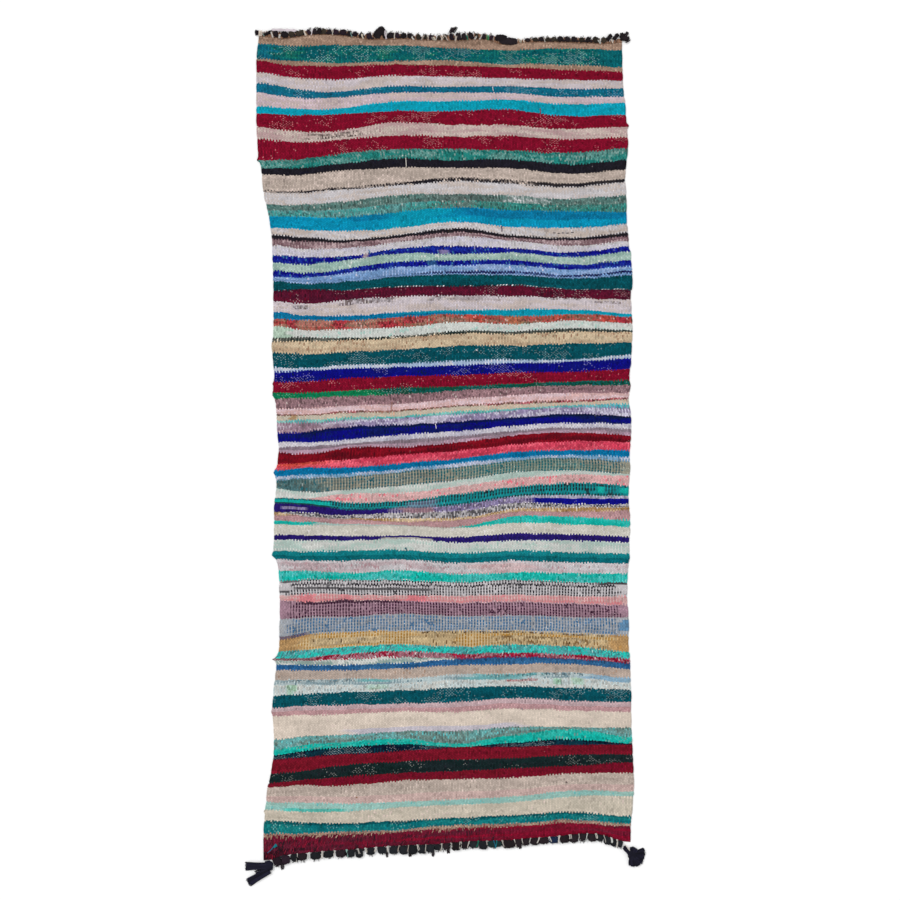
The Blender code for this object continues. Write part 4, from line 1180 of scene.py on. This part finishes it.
        # the warps and passes at each corner, and how many passes lie between it and its band's edges
        row = np.concatenate([np.repeat(np.arange(rows), n) for n in (columns, len(picked))])[corners]
        shares = (self.shares, self.shares[picked])
        share = np.concatenate([np.tile(line, rows) for line in shares])[corners]
        band = self.row_band[np.repeat(in_row, sizes)]
        part = np.where((self.row_band[row] != band) | (row == rows - 1), 1.0, self.row_part[row])
        passes, zero = self.passes_in[band], np.zeros(len(corners))
        weave = (share * (CLOTH_WIDTH / WARP_SPACING), self.first_pass[band] + part * passes, zero)
        reach = (part * passes, (1 - part) * passes, zero)
        for name, values in (("weave", weave), ("reach", reach)):
            store(cloth, name, "FLOAT_VECTOR", "CORNER", np.column_stack(values))
        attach(cloth, "root")
        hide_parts("rug_cloth")
        return cloth


@dataclass
class Wool:
    """Windings, eggs and loose ends of plied wool, gathered on one surface."""

    seed: int
    height: float
    yarn: float
    colours: tuple[Yarn, ...] = (Yarn.BLACK,)
    pitch: float = 2.1  # of the wraps, in radii of the yarn
    wrap_steps: int = 12
    squareness: float = 0.75  # of a wrap: 1 is round, and less is squarer
    surface: Surface = field(default_factory=Surface)

    def __post_init__(self) -> None:
        """Seed the luck of this piece."""
        self.luck = np.random.default_rng(self.seed)

    def tone(self, colour: Yarn | None = None) -> Array:
        """Choose a shade of one of the colours."""
        if colour is None:
            colour = self.colours[self.luck.integers(len(self.colours))]
        return colour.linear() * self.luck.uniform(0.75, 1.9)

    def wind(self, lump: Lump, colour: Yarn | None = None, bluntness: float = 4.0) -> None:
        """Wind a yarn round an axis and fill the winding with an egg.

        The path steps evenly along the axis while it goes round a flat oval: its place beside the axis is
        the oval's cosine and its height the sine, both squared off so that the wraps lie flat. The oval
        narrows towards the ends of the axis, by a power of the distance from its middle, and each wrap
        has a width of its own.

        Args:
            lump: the axis and half the width.
            colour: the wool's colour, or nothing to choose one.
            bluntness: how square the ends are.
        """
        start, stop = np.array(lump.start, float), np.array(lump.stop, float)
        length = float(np.hypot(*(stop - start)))
        axis = (stop - start) / length
        side = np.array((-axis[1], axis[0]))
        wraps = max(3, round(length / (self.pitch * self.yarn)))
        share = np.linspace(0.0, 1.0, wraps * self.wrap_steps)
        angle = share * 2 * math.pi * wraps + self.luck.uniform(0, 6.28)
        each = np.interp(share * wraps, np.arange(wraps + 1), self.luck.uniform(0.84, 1.06, wraps + 1))
        arch = 1.0 - 0.4 * np.abs(2 * share - 1) ** bluntness
        cosine = np.sign(np.cos(angle)) * np.abs(np.cos(angle)) ** self.squareness
        sine = np.sign(np.sin(angle)) * np.abs(np.sin(angle)) ** self.squareness
        off = (lump.half * each - self.yarn) * arch * cosine
        inset = min(self.yarn / length, 0.4)
        spot = start + (stop - start) * (inset + share * (1 - 2 * inset))[:, None]
        spot = spot + side * off[:, None] + axis * (off * self.luck.uniform(-0.2, 0.2))[:, None]
        tall = self.height * self.luck.uniform(0.86, 1.0) / 2
        up = tall + 0.15 + (tall - self.yarn * 1.15) * arch * sine
        thick = self.yarn * MM * (1.0 + 0.12 * np.sin(angle * 1.7))
        points, faces = tubes(place(*spot.T, up)[None], thick)
        tone = self.tone(colour)
        self.surface.add(points, faces, tone)
        self.egg((start + stop) / 2, (stop - start) / 2 * 0.86, lump.half * 0.8, tall * 0.84, tone)

    def egg(self, middle: Array, reach: Array, half: float, tall: float, tone: Array) -> None:
        """Add a closed egg: a sphere that is stretched along an axis, beside it and up.

        Args:
            middle: its place, in mm across and down.
            reach: from there to its end along the axis.
            half: half its width beside the axis.
            tall: half its height.
            tone: its colour.
        """
        count, levels = 12, 6
        around = np.arange(count) * (2 * math.pi / count)
        over = np.linspace(-math.pi / 2, math.pi / 2, levels + 2)[1:-1]
        along = np.outer(np.cos(over), np.cos(around))[..., None] * reach
        beside = np.outer(np.cos(over), np.sin(around))[..., None] * np.array((-reach[1], reach[0]))
        spot = middle + along + beside * (half / max(float(np.hypot(*reach)), 1e-6))
        up = self.height * 0.47 + np.repeat(np.sin(over)[:, None], count, 1) * tall
        self.surface.add(place(spot[..., 0], spot[..., 1], up), closed_grid(levels, count), tone)

    def ends(
        self, start: Array, stop: Array, up: Array, radius: float, tone: Array, bow: float = 0.8
    ) -> None:
        """Lay loose ends, each a line from start to stop with a bow and a small wave, tapered at its tip.

        Args:
            start: where each begins, in mm across and down.
            stop: where each ends.
            up: the height of each at both ends, in mm.
            radius: the yarn's radius, in mm.
            tone: the colour of each.
            bow: how far they bend, in mm.
        """
        steps = np.linspace(0.0, 1.0, 8)
        along = stop - start
        side = pair(-along[:, 1], along[:, 0]) / (np.hypot(*along.T)[:, None] + 1e-9)
        bend = self.luck.normal(0.0, bow, len(start))[:, None] * np.sin(steps * math.pi)
        bend = bend + self.luck.normal(0.0, bow * 0.4, len(start))[:, None] * np.sin(steps * 2.4 * math.pi)
        spot = start[:, None] + along[:, None] * steps[None, :, None] + side[:, None] * bend[..., None]
        rise = up[:, :1] + (up[:, 1:] - up[:, :1]) * steps + 0.3 * np.sin(steps * 5.0)
        thick = radius * MM * np.interp(steps, (0.0, 0.85, 1.0), (1.0, 1.0, 0.6))
        points, faces = tubes(place(spot[..., 0], spot[..., 1], rise), thick)
        per = faces[0].shape[0] // len(start)
        self.surface.add(points, faces, np.concatenate((np.repeat(tone, per, 0), tone, tone)))

    def piece(self, name: str, node: str) -> bpy.types.Object:
        """Make the piece that stands for a solid."""
        made = self.surface.piece(name, YarnFinish(name + "_wool").material())
        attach(made, "root")
        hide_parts(node)
        return made


@dataclass
class KnotRow:
    """A row of knots of dark wool over one end of the cloth, with the warp ends between them."""

    name: str
    node: str
    points: tuple[EndPoint, ...]
    knots: tuple[Knot, ...]
    lumps: tuple[Lump, ...]
    wool: Wool
    outward: int
    bluntness: float
    bite: float = 2.5  # how far a knot lies over the cloth
    fill: tuple[float, float] = (1.06, 1.22)  # a knot's width, as a share of its room
    root: float = 2.5  # how far inside the cloth's edge a warp end begins
    warp_room: float = 3.6  # of each warp end, in the width of a bunch
    warp_step: float = 2.6  # from one to the next as they leave the cloth
    pale_ends: tuple[PaleEnd, ...] = ()
    under: Yarn | None = None  # the yarn that shows under the knots
    strip: tuple[float, float] | None = None
    coloured: tuple[tuple[float, float, Yarn], ...] = ()
    loose: tuple[tuple[float, float], ...] = ()  # across, and how far a loose end hangs out

    def cloth_line(self, across: Array) -> Array:
        """Read how far down the cloth's edge is."""
        return end_line(self.points, across)

    def knot_line(self, across: Array) -> Array:
        """Read how far down the knots reach."""
        return end_line(self.points, across, knots=True)

    def tie(self) -> None:
        """Wind each knot along the end, from the cloth's edge to the knots' own line."""
        luck = self.wool.luck
        for knot in self.knots:
            width = knot.width * luck.uniform(*self.fill)
            across = knot.across + luck.uniform(-0.8, 0.8) + np.array((-0.5, 0.5)) * width
            tilt = luck.uniform(-1.2, 1.2) * np.array((-1, 1))
            inner = self.cloth_line(across) - self.outward * self.bite + tilt
            reach = np.abs(self.knot_line(across) - inner).mean() * luck.uniform(0.84, 1.08)
            middle = inner + self.outward * reach / 2
            colour = next((c for a, b, c in self.coloured if a <= knot.across <= b), None)
            lump = Lump((across[0], middle[0]), (across[1], middle[1]), reach / 2)
            self.wool.wind(lump, colour, self.bluntness)
        for lump in self.lumps:
            self.wool.wind(lump, Yarn.BLACK, 3.0)
        seams = np.array([knot.across + knot.width / 2 for knot in self.knots[:-1]])
        for across in seams[luck.uniform(0.0, 1.0, len(seams)) < 0.8]:
            middle = np.array((across, self.cloth_line(across) + self.outward * 3.0))
            self.wool.egg(middle, np.array((6.0, 0.0)), 4.0, self.wool.height * 0.3, self.wool.tone())

    def whiskers(self) -> None:
        """Let short loose ends stand out of the knots at random slants, and hang the longer ones."""
        luck = self.wool.luck
        across = np.repeat([knot.across for knot in self.knots], 3)
        count = len(across)
        across = across + luck.uniform(-8.0, 8.0, count)
        outer = self.knot_line(across)
        tip = across + luck.uniform(-5.0, 5.0, count)
        stop = pair(tip, outer + self.outward * luck.uniform(-1.0, 3.0, count))
        up = pair(luck.uniform(2.0, 6.0, count), luck.uniform(1.0, 3.0, count))
        tone = self.wool.tone() * luck.uniform(0.8, 1.6, (count, 1))
        self.wool.ends(pair(across, outer - self.outward * 5.0), stop, up, 0.6, tone)
        if self.loose:
            across, reach = np.repeat(np.array(self.loose), 3, 0).T
            count = len(across)
            across = across + np.tile((-2.4, 0.0, 2.4), len(self.loose))
            outer = self.knot_line(across)
            tip = across + luck.uniform(-1, 2, count)
            stop = pair(tip, outer + self.outward * reach * luck.uniform(0.8, 1, count))
            up, tone = np.full((count, 2), (4.0, 2.2)), np.repeat(self.wool.tone()[None], count, 0)
            self.wool.ends(pair(across, outer - self.outward * 6.0), stop, up, 1.7, tone)

    def warps(self) -> None:
        """Lay the warp ends: bunches of cotton that leave the cloth and lean out over the knots' seams.

        All the yarns of a bunch lean by one slant of its own. Under the knots lies a close row of
        shorter ends.
        """
        luck, top = self.wool.luck, self.wool.height
        counts = [max(1, round(end.width / self.warp_room)) for end in self.pale_ends]
        spread = np.concatenate([(np.arange(n) - (n - 1) / 2) * self.warp_step for n in counts])
        across = np.repeat([end.across for end in self.pale_ends], counts) + spread
        count = len(across)
        inner = self.cloth_line(across) - self.outward * self.root
        reach = self.knot_line(across) - inner
        lean = np.repeat(luck.uniform(-8.0, 8.0, len(counts)), counts)
        share = np.repeat(luck.uniform(0.45, 0.95, len(counts)), counts)
        stop = pair(across + lean + luck.uniform(-1.5, 1.5, count), inner + reach * share)
        up = pair(luck.uniform(0.55, 0.8, count), luck.uniform(0.75, 0.95, count)) * top
        tone = np.repeat(dyes(end.yarn for end in self.pale_ends), counts, 0)
        self.wool.ends(pair(across, inner), stop, up, 1.35, tone * luck.uniform(0.55, 1.0, (count, 1)), 0.9)
        if self.under is not None:
            across = np.arange(self.points[0].across + 3.0, self.points[-1].across - 2.0, self.warp_step)
            count = len(across)
            inner = self.cloth_line(across) - self.outward * self.root
            reach = self.knot_line(across) - inner
            start = pair(across, inner)
            stop = start + pair(luck.uniform(-3.0, 3.0, count), reach * luck.uniform(0.45, 0.9, count))
            up = pair(luck.uniform(2.6, 3.6, count), luck.uniform(1.8, 3.0, count))
            tone = self.under.linear() * luck.uniform(0.35, 1.05, (count, 1))
            self.wool.ends(start, stop, up, 1.45, tone, 0.4)

    def rag(self) -> None:
        """Lay a rag strip along the end: a flat ribbon that rolls a little, closed into a thin band."""
        steps, sides = 40, 8
        share = np.linspace(0.0, 1.0, steps)
        across = self.strip[0] + (self.strip[1] - self.strip[0]) * share
        middle = self.knot_line(across) - self.outward * 1.5
        roll = 0.5 * np.sin(share * 14.0)
        narrowing = np.sqrt(np.clip(1 - (2 * share - 1) ** 8, 0.05, 1))
        half = (3.9 * (1.0 + 0.25 * np.sin(share * 23.0)) * narrowing)[:, None]
        turn = np.arange(sides) * (2 * math.pi / sides)
        beside, above = np.cos(turn), np.sin(turn)
        down = middle[:, None] + half * (beside * np.cos(roll)[:, None])
        up = 7.4 + half * beside * np.sin(roll)[:, None] * 0.3 + 0.8 * above
        points = place(np.repeat(across[:, None], sides, 1), down, up)
        self.wool.surface.add(points, closed_grid(steps, sides), Yarn.LILAC_WHITE.linear() * 0.85)

    def build(self) -> bpy.types.Object:
        """Make the row as one piece."""
        self.tie()
        self.whiskers()
        self.warps()
        if self.strip is not None:
            self.rag()
        return self.wool.piece(self.name, self.node)


UPPER_LUMPS = chart(
    Lump,
    ((417, -7), (388, 24), 13.5), ((393, 20), (407, 24), 6), ((749, 24), (786, 26), 12),
    ((762, 34), (818, 35), 12.5), ((57, 16), (82, 4), 6), ((1084, 33), (1100, 14), 7.5),
    ((1104, 31), (1120, 12), 7),
)

UPPER_PALE_ENDS = chart(
    PaleEnd,
    (46, 14, "CREAM"), (58, 5, "SAGE"), (84, 9, "COTTON"), (104, 8, "COTTON"), (183, 7, "CREAM"),
    (199, 5, "LILAC_WHITE"), (263, 4, "COTTON"), (322, 5, "SAGE"), (355, 9, "OATMEAL"),
    (424, 6, "LILAC_WHITE"), (448, 4, "COTTON"), (507, 8, "COTTON"), (529, 6, "TAUPE"), (549, 5, "TAUPE"),
    (571, 12, "OATMEAL"), (590, 9, "CREAM"), (610, 5, "TAUPE"), (631, 7, "CREAM"), (668, 4, "FERN"),
    (689, 6, "COTTON"), (704, 6, "COTTON"), (728, 7, "EMERALD"), (828, 8, "OATMEAL"), (838, 4, "CREAM"),
    (900, 4, "COTTON"), (1066, 6, "MINT_WHITE"), (1104, 5, "CREAM"),
)

UPPER_KNOTS = chart(
    Knot,
    (92, 15), (118, 24), (141, 18), (158, 13), (171, 13), (191, 12), (208, 15), (223, 15), (237, 14),
    (253, 15), (273, 18), (295, 21), (313, 15), (331, 18), (348, 12), (372, 19), (418, 12), (436, 22),
    (457, 16), (476, 19), (495, 18), (519, 15), (540, 13), (559, 18), (581, 9), (601, 15), (619, 15),
    (640, 16), (656, 16), (678, 15), (696, 10), (715, 16), (738, 12), (849, 18), (870, 19), (889, 16),
    (908, 17), (926, 19), (946, 20), (967, 18), (987, 19), (1010, 20), (1030, 16), (1052, 22), (1076, 18),
)

LOWER_KNOTS = chart(
    Knot,
    (99, 22), (124, 24), (149, 22), (174, 24), (212, 28), (251, 28), (287, 26), (317, 24), (343, 22),
    (377, 26), (411, 26), (447, 26), (476, 26), (504, 24), (531, 24), (557, 24), (581, 22), (603, 20),
    (633, 26), (660, 24), (687, 24), (713, 24), (748, 40), (791, 34), (819, 22), (842, 22), (870, 26),
    (897, 24), (927, 28), (959, 28), (987, 24), (1014, 26), (1040, 22), (1064, 24), (1088, 20), (1107, 16),
    (1124, 16),
)

LOWER_PALE_ENDS = chart(
    PaleEnd,
    (157, 5, "COTTON"), (194, 9, "MINT_WHITE"), (232, 7, "COTTON"), (268, 5, "COTTON"), (305, 8, "SEAFOAM"),
    (338, 6, "COTTON"), (361, 6, "COTTON"), (394, 8, "COTTON"), (431, 8, "COTTON"), (463, 4, "TAUPE"),
    (491, 4, "TAUPE"), (517, 6, "COTTON"), (543, 5, "COTTON"), (590, 7, "COTTON"), (617, 5, "COTTON"),
    (647, 7, "COTTON"), (674, 5, "COTTON"), (700, 6, "FERN"), (726, 4, "COTTON"), (746, 5, "PETROL"),
    (755, 5, "TEAL"), (771, 7, "COTTON"), (807, 5, "COTTON"), (831, 5, "COTTON"), (857, 5, "COTTON"),
    (883, 6, "COTTON"), (912, 4, "COTTON"), (943, 6, "COTTON"), (974, 10, "COTTON"), (1001, 4, "COTTON"),
    (1027, 6, "MINT_WHITE"), (1052, 6, "COTTON"), (1076, 5, "COTTON"), (1098, 6, "MINT_WHITE"),
    (1116, 6, "COTTON"),
)


@dataclass
class Tassel:
    """A tassel or tie: locks of yarn that leave a wound head."""

    name: str
    node: str
    heads: tuple[Lump, ...]
    locks: tuple[Lock, ...]
    wool: Wool
    ragged: float = 0.12
    pale: int = 0  # how many of the first lock's yarns are cotton

    def lay(self, lock: Lock, pale: int) -> None:
        """Lay the yarns of a lock side by side and over each other.

        Args:
            lock: the lock.
            pale: how many of its yarns are cotton.
        """
        luck, count = self.wool.luck, lock.yarns
        root, tip = np.array(lock.root, float), np.array(lock.tip, float)
        side = np.array((tip[1] - root[1], root[0] - tip[0])) / np.hypot(*(tip - root))
        share = np.linspace(-0.5, 0.5, count)[:, None]
        reach = 1.0 - luck.uniform(0.0, self.ragged, (count, 1))
        start = root + side * share * lock.spread * 0.7
        stop = start + (tip + side * share * lock.spread - start) * reach
        level = luck.uniform(self.wool.yarn + 0.3, self.wool.height - self.wool.yarn - 0.3, count)
        up = pair(level, np.maximum(level * 0.6, self.wool.yarn + 0.4))
        tone = np.repeat(self.wool.tone()[None], count, 0) * luck.uniform(0.75, 1.5, (count, 1))
        tone[:pale] = Yarn.COTTON.linear()
        self.wool.ends(start, stop, up, self.wool.yarn, tone, 0.6)

    def build(self) -> bpy.types.Object:
        """Make the tassel as one piece."""
        for index, lock in enumerate(self.locks):
            self.lay(lock, self.pale if index == 0 else 0)
        for head in self.heads:
            self.wool.wind(head, None, 3.0)
        return self.wool.piece(self.name, self.node)


TASSELS = (
    Tassel(
        "lower_left_yarns", "lower_left_tassel", (Lump((58, 2504), (86, 2507), 16.0),),
        chart(
            Lock,
            ((74, 2520), (8, 2559), 24, 9), ((74, 2519), (9, 2558), 18, 8), ((80, 2510), (32, 2533), 20, 8),
            ((72, 2507), (0, 2508.5), 24, 9), ((72, 2507), (0.5, 2508.5), 19, 8),
        ),
        Wool(31, 12.0, 1.6, (Yarn.NAVY_BLACK,)), 0.04,
    ),
    Tassel(
        "lower_right_yarns", "lower_right_tassel", (Lump((1150, 2466), (1172, 2484), 14.0),),
        chart(
            Lock,
            ((1158, 2474), (1135, 2447), 13, 7), ((1162, 2470), (1161, 2448), 12, 7),
            ((1163, 2470), (1174, 2454), 12, 6), ((1163, 2472), (1199, 2458), 12, 8),
            ((1163, 2473), (1202, 2468), 12, 8), ((1163, 2475), (1199, 2479), 12, 8),
            ((1162, 2477), (1196, 2490), 12, 8), ((1161, 2478), (1191, 2501), 12, 8),
            ((1160, 2479), (1181, 2509), 12, 8), ((1159, 2478), (1168, 2510), 12, 8),
            ((1157, 2477), (1157, 2509), 10, 6),
        ),
        Wool(32, 12.0, 1.6, (Yarn.NAVY_BLACK,)), 0.12, 1,
    ),
    Tassel(
        "upper_right_yarns", "upper_right_tassel",
        (Lump((1129, 13), (1138, 33), 10.0), Lump((1131, 28), (1149, 24), 8.0)),
        chart(
            Lock,
            ((1134, 27), (1128.5, 7.5), 8, 5), ((1135, 27), (1139, 9), 8, 4), ((1135, 28), (1149, 6), 8, 5),
            ((1135, 28), (1154, 24), 8, 5), ((1134, 29), (1151, 34), 5, 3), ((1140, 24), (1124, 30), 8, 4),
            ((1141, 39), (1156, 28), 2, 1),
        ),
        Wool(33, 9.0, 1.3),
    ),
    Tassel(
        "upper_left_yarns", "upper_left_tie", (Lump((31, 5), (41, 12), 5.5),),
        (Lock((43, 12), (30, 13), 6, 4), Lock((43, 6), (29.5, 3), 6, 4)),
        Wool(34, 6.0, 1.1),
    ),
    Tassel(
        "upper_middle_yarns", "upper_middle_tie", (Lump((616, 5), (630, -6), 5.5),),
        (Lock((615, 9), (624, -9), 7, 4), Lock((624, 8), (635, -10), 7, 4)),
        Wool(35, 6.0, 1.1),
    ),
)

THREADS = chart(
    Thread,
    ((482, 384), (484, 411), 1.2, "COTTON"), ((770, 588), (771, 606), 1.3, "NAVY"),
    ((742, 171), (745, 184), 1, "WHITE"), ((886, 236), (885, 252), 1.2, "MADDER"),
    ((441, 1116), (440, 1142), 0.9, "RUSSET"), ((571, 1181), (574, 1196), 1.2, "WHITE"),
    ((694, 959), (697, 962), 2, "WHITE"), ((371, 660), (376, 672), 1.2, "DEEP_BLUE"),
    ((853, 898), (855, 911), 1.2, "INK"), ((481, 1553), (485, 1558), 2.4, "PINE"),
    ((917, 1564), (920, 1570), 1.4, "WHITE"), ((829, 2034), (832, 2040), 1.3, "SMOKE"),
    ((962, 2255), (966, 2258), 1.8, "UMBER"), ((925, 609), (931, 609), 1.1, "INK"),
    ((938, 610), (945, 610), 1.1, "INK"), ((951, 610), (957, 610), 1.1, "INK"),
    ((964, 610), (972, 609), 1.1, "INK"), ((979, 609), (986, 608), 1.1, "INK"),
    ((334, 2300), (337, 2303), 1.8, "TOBACCO"), ((93, 2440), (68, 2468), 1.1, "PETROL"),
    ((87, 2450), (96, 2443), 3, "TEAL"), ((90, 2447), (96, 2449), 2.6, "TEAL"),
)


@dataclass
class StrayThreads:
    """Threads that lie loose on the face, and the shaggy rags of the last band."""

    face: float = 5.3  # the height that they lie at
    frayed: tuple[float, float] = (62.0, 760.0)
    frays: int = 170
    shag: int = 300
    wool: Wool = field(default_factory=lambda: Wool(51, 6.0, 1.0))

    def lay(self) -> None:
        """Lay the stray threads one by one."""
        for thread in THREADS:
            up = np.full((1, 2), self.face + thread.radius * 0.4)
            ends = (np.array([thread.start], float), np.array([thread.stop], float))
            self.wool.ends(*ends, up, thread.radius, thread.yarn.linear()[None], 1.0)

    def fray(self) -> None:
        """Comb short frayed ends over the last band and its seam, more of them to the left.

        Their angle changes slowly from place to place. The ends on the seam are short and of both bands'
        colours; the others are longer and have the last band's colours.
        """
        luck = self.wool.luck
        left, right, seam, foot = BANDS[-2].left, BANDS[-2].right, BANDS[-2].edge, BANDS[-1].edge
        lines = left + (right - left) * np.array(WARP_LINES)
        red = dyes((Yarn.BURGUNDY, Yarn.WINE, Yarn.MADDER, Yarn.BLACK_PURPLE))
        both = dyes((Yarn.BURGUNDY, Yarn.CAMEL, Yarn.PALE_CAMEL, Yarn.TOBACCO))
        kinds = ((self.frays, both, 0.0, 5.0, 10.0), (self.shag, red, 0.85, 8.0, 15.0))
        for count, colours, depth, short, long in kinds:
            share = luck.uniform(0.0, 1.0, count) ** 1.5
            across = self.frayed[0] + (self.frayed[1] - self.frayed[0]) * share
            top, bottom = np.interp(across, lines, seam), np.interp(across, lines, foot)
            down = top + (bottom - top) * depth * luck.uniform(0.0, 1.0, count)
            down = down + luck.uniform(-6.0, 3.0, count)
            slant = 0.6 * Unevenness(52, 90.0, 90.0).at(across, down) + luck.normal(0.0, 0.2, count)
            start = pair(across, down)
            stop = start + pair(np.sin(slant), np.cos(slant)) * luck.uniform(short, long, count)[:, None]
            rises = pair(luck.uniform(-0.6, 0.1, count), luck.uniform(-0.6, 0.1, count))
            tone = colours[luck.integers(len(colours), size=count)] * luck.uniform(0.6, 1.3, (count, 1))
            self.wool.ends(start, stop, self.face + rises, 1.0, tone, 0.4)

    def build(self) -> bpy.types.Object:
        """Make all of them as one piece."""
        self.lay()
        self.fray()
        made = self.wool.surface.piece("stray_threads", YarnFinish("stray_thread").material())
        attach(made, "root")
        return made


@dataclass
class Studio:
    """The pale floor, the soft light and the camera straight above."""

    floor_size: float = 30.0
    floor_colour: Colour = (0.93, 0.93, 0.93)
    frame_size: float = 2.7
    aim: tuple[float, float] = (0.014, 0.0152)
    lens: float = 85.0
    sensor: float = 36.0
    world_light: float = 0.84
    key_light: float = 1.25
    key_softness: float = 24.0  # degrees across
    key_tilt: tuple[float, float] = (-28.0, -30.0)  # degrees about x and y

    def floor(self) -> None:
        """Lay the floor as one flat square."""
        half = self.floor_size / 2
        points = np.array([(-half, -half, 0), (half, -half, 0), (half, half, 0), (-half, half, 0)], float)
        g = Graph("pale_floor")
        material = g.finish({"Roughness": 0.9, "Base Color": (*self.floor_colour, 1.0)})
        make_piece("floor", points, np.arange(4), np.array([4]), material)

    def light(self) -> None:
        """Fill the room with even light and add one soft distant key light from the upper left."""
        world = bpy.data.worlds.new("studio")
        world.use_nodes = True
        world.node_tree.nodes["Background"].inputs["Color"].default_value = (1.0, 1.0, 1.0, 1.0)
        world.node_tree.nodes["Background"].inputs["Strength"].default_value = self.world_light
        bpy.context.scene.world = world
        lamp = bpy.data.lights.new("key_light", "SUN")
        lamp.energy, lamp.angle = self.key_light, math.radians(self.key_softness)
        hung = bpy.data.objects.new("key_light", lamp)
        hung.location = (-2.0, 2.0, 4.0)
        hung.rotation_euler = (math.radians(self.key_tilt[0]), math.radians(self.key_tilt[1]), 0.0)
        bpy.context.scene.collection.objects.link(hung)

    def camera(self) -> None:
        """Set the camera straight above, as far off as the lens needs to take in the frame's size."""
        lens = bpy.data.cameras.new("camera")
        lens.lens, lens.sensor_width, lens.sensor_fit = self.lens, self.sensor, "HORIZONTAL"
        made = bpy.data.objects.new("camera", lens)
        made.location = (*self.aim, self.frame_size * self.lens / self.sensor)
        lens.clip_end = 100.0
        bpy.context.scene.collection.objects.link(made)
        bpy.context.scene.camera = made

    def build(self) -> None:
        """Set the stage."""
        self.floor()
        self.light()
        self.camera()
        bpy.context.scene.view_settings.view_transform = "Standard"


def main() -> None:
    """Build the rug and its stage."""
    logging.basicConfig(level=logging.INFO, format="%(name)s: %(message)s")
    Studio().build()
    cloth = RugCloth().build()
    rows = (
        KnotRow(
            "upper_knots", "upper_knot_edge", UPPER_END, UPPER_KNOTS, UPPER_LUMPS,
            Wool(41, 8.4, 1.7, (Yarn.BLACK, Yarn.BLACK, Yarn.BLACK_PURPLE, Yarn.BLACK_BROWN)), -1, 2.2,
            fill=(0.9, 1.06), pale_ends=UPPER_PALE_ENDS, under=Yarn.TOBACCO, strip=(80.0, 156.0),
        ),
        KnotRow(
            "lower_knots", "lower_knot_edge", LOWER_END, LOWER_KNOTS, (),
            Wool(42, 11.4, 2.0, (Yarn.BLACK, Yarn.BLACK_GREEN)), 1, 5.0,
            coloured=(
                (80, 140, Yarn.BLACK_PURPLE), (740, 760, Yarn.NIGHT_GREEN), (925, 940, Yarn.BLACK_BLUE),
            ),
            pale_ends=LOWER_PALE_ENDS,
            loose=((112, 16), (426, 9), (494, 8), (563, 13), (610, 8), (825, 7)),
        ),
    )
    ends = [row.build() for row in rows] + [tassel.build() for tassel in TASSELS] + [StrayThreads().build()]
    for piece in (cloth, *ends):
        LOG.info("%s: %d faces", piece.name, len(piece.data.polygons))
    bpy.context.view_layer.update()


if __name__ == "__main__":
    main()
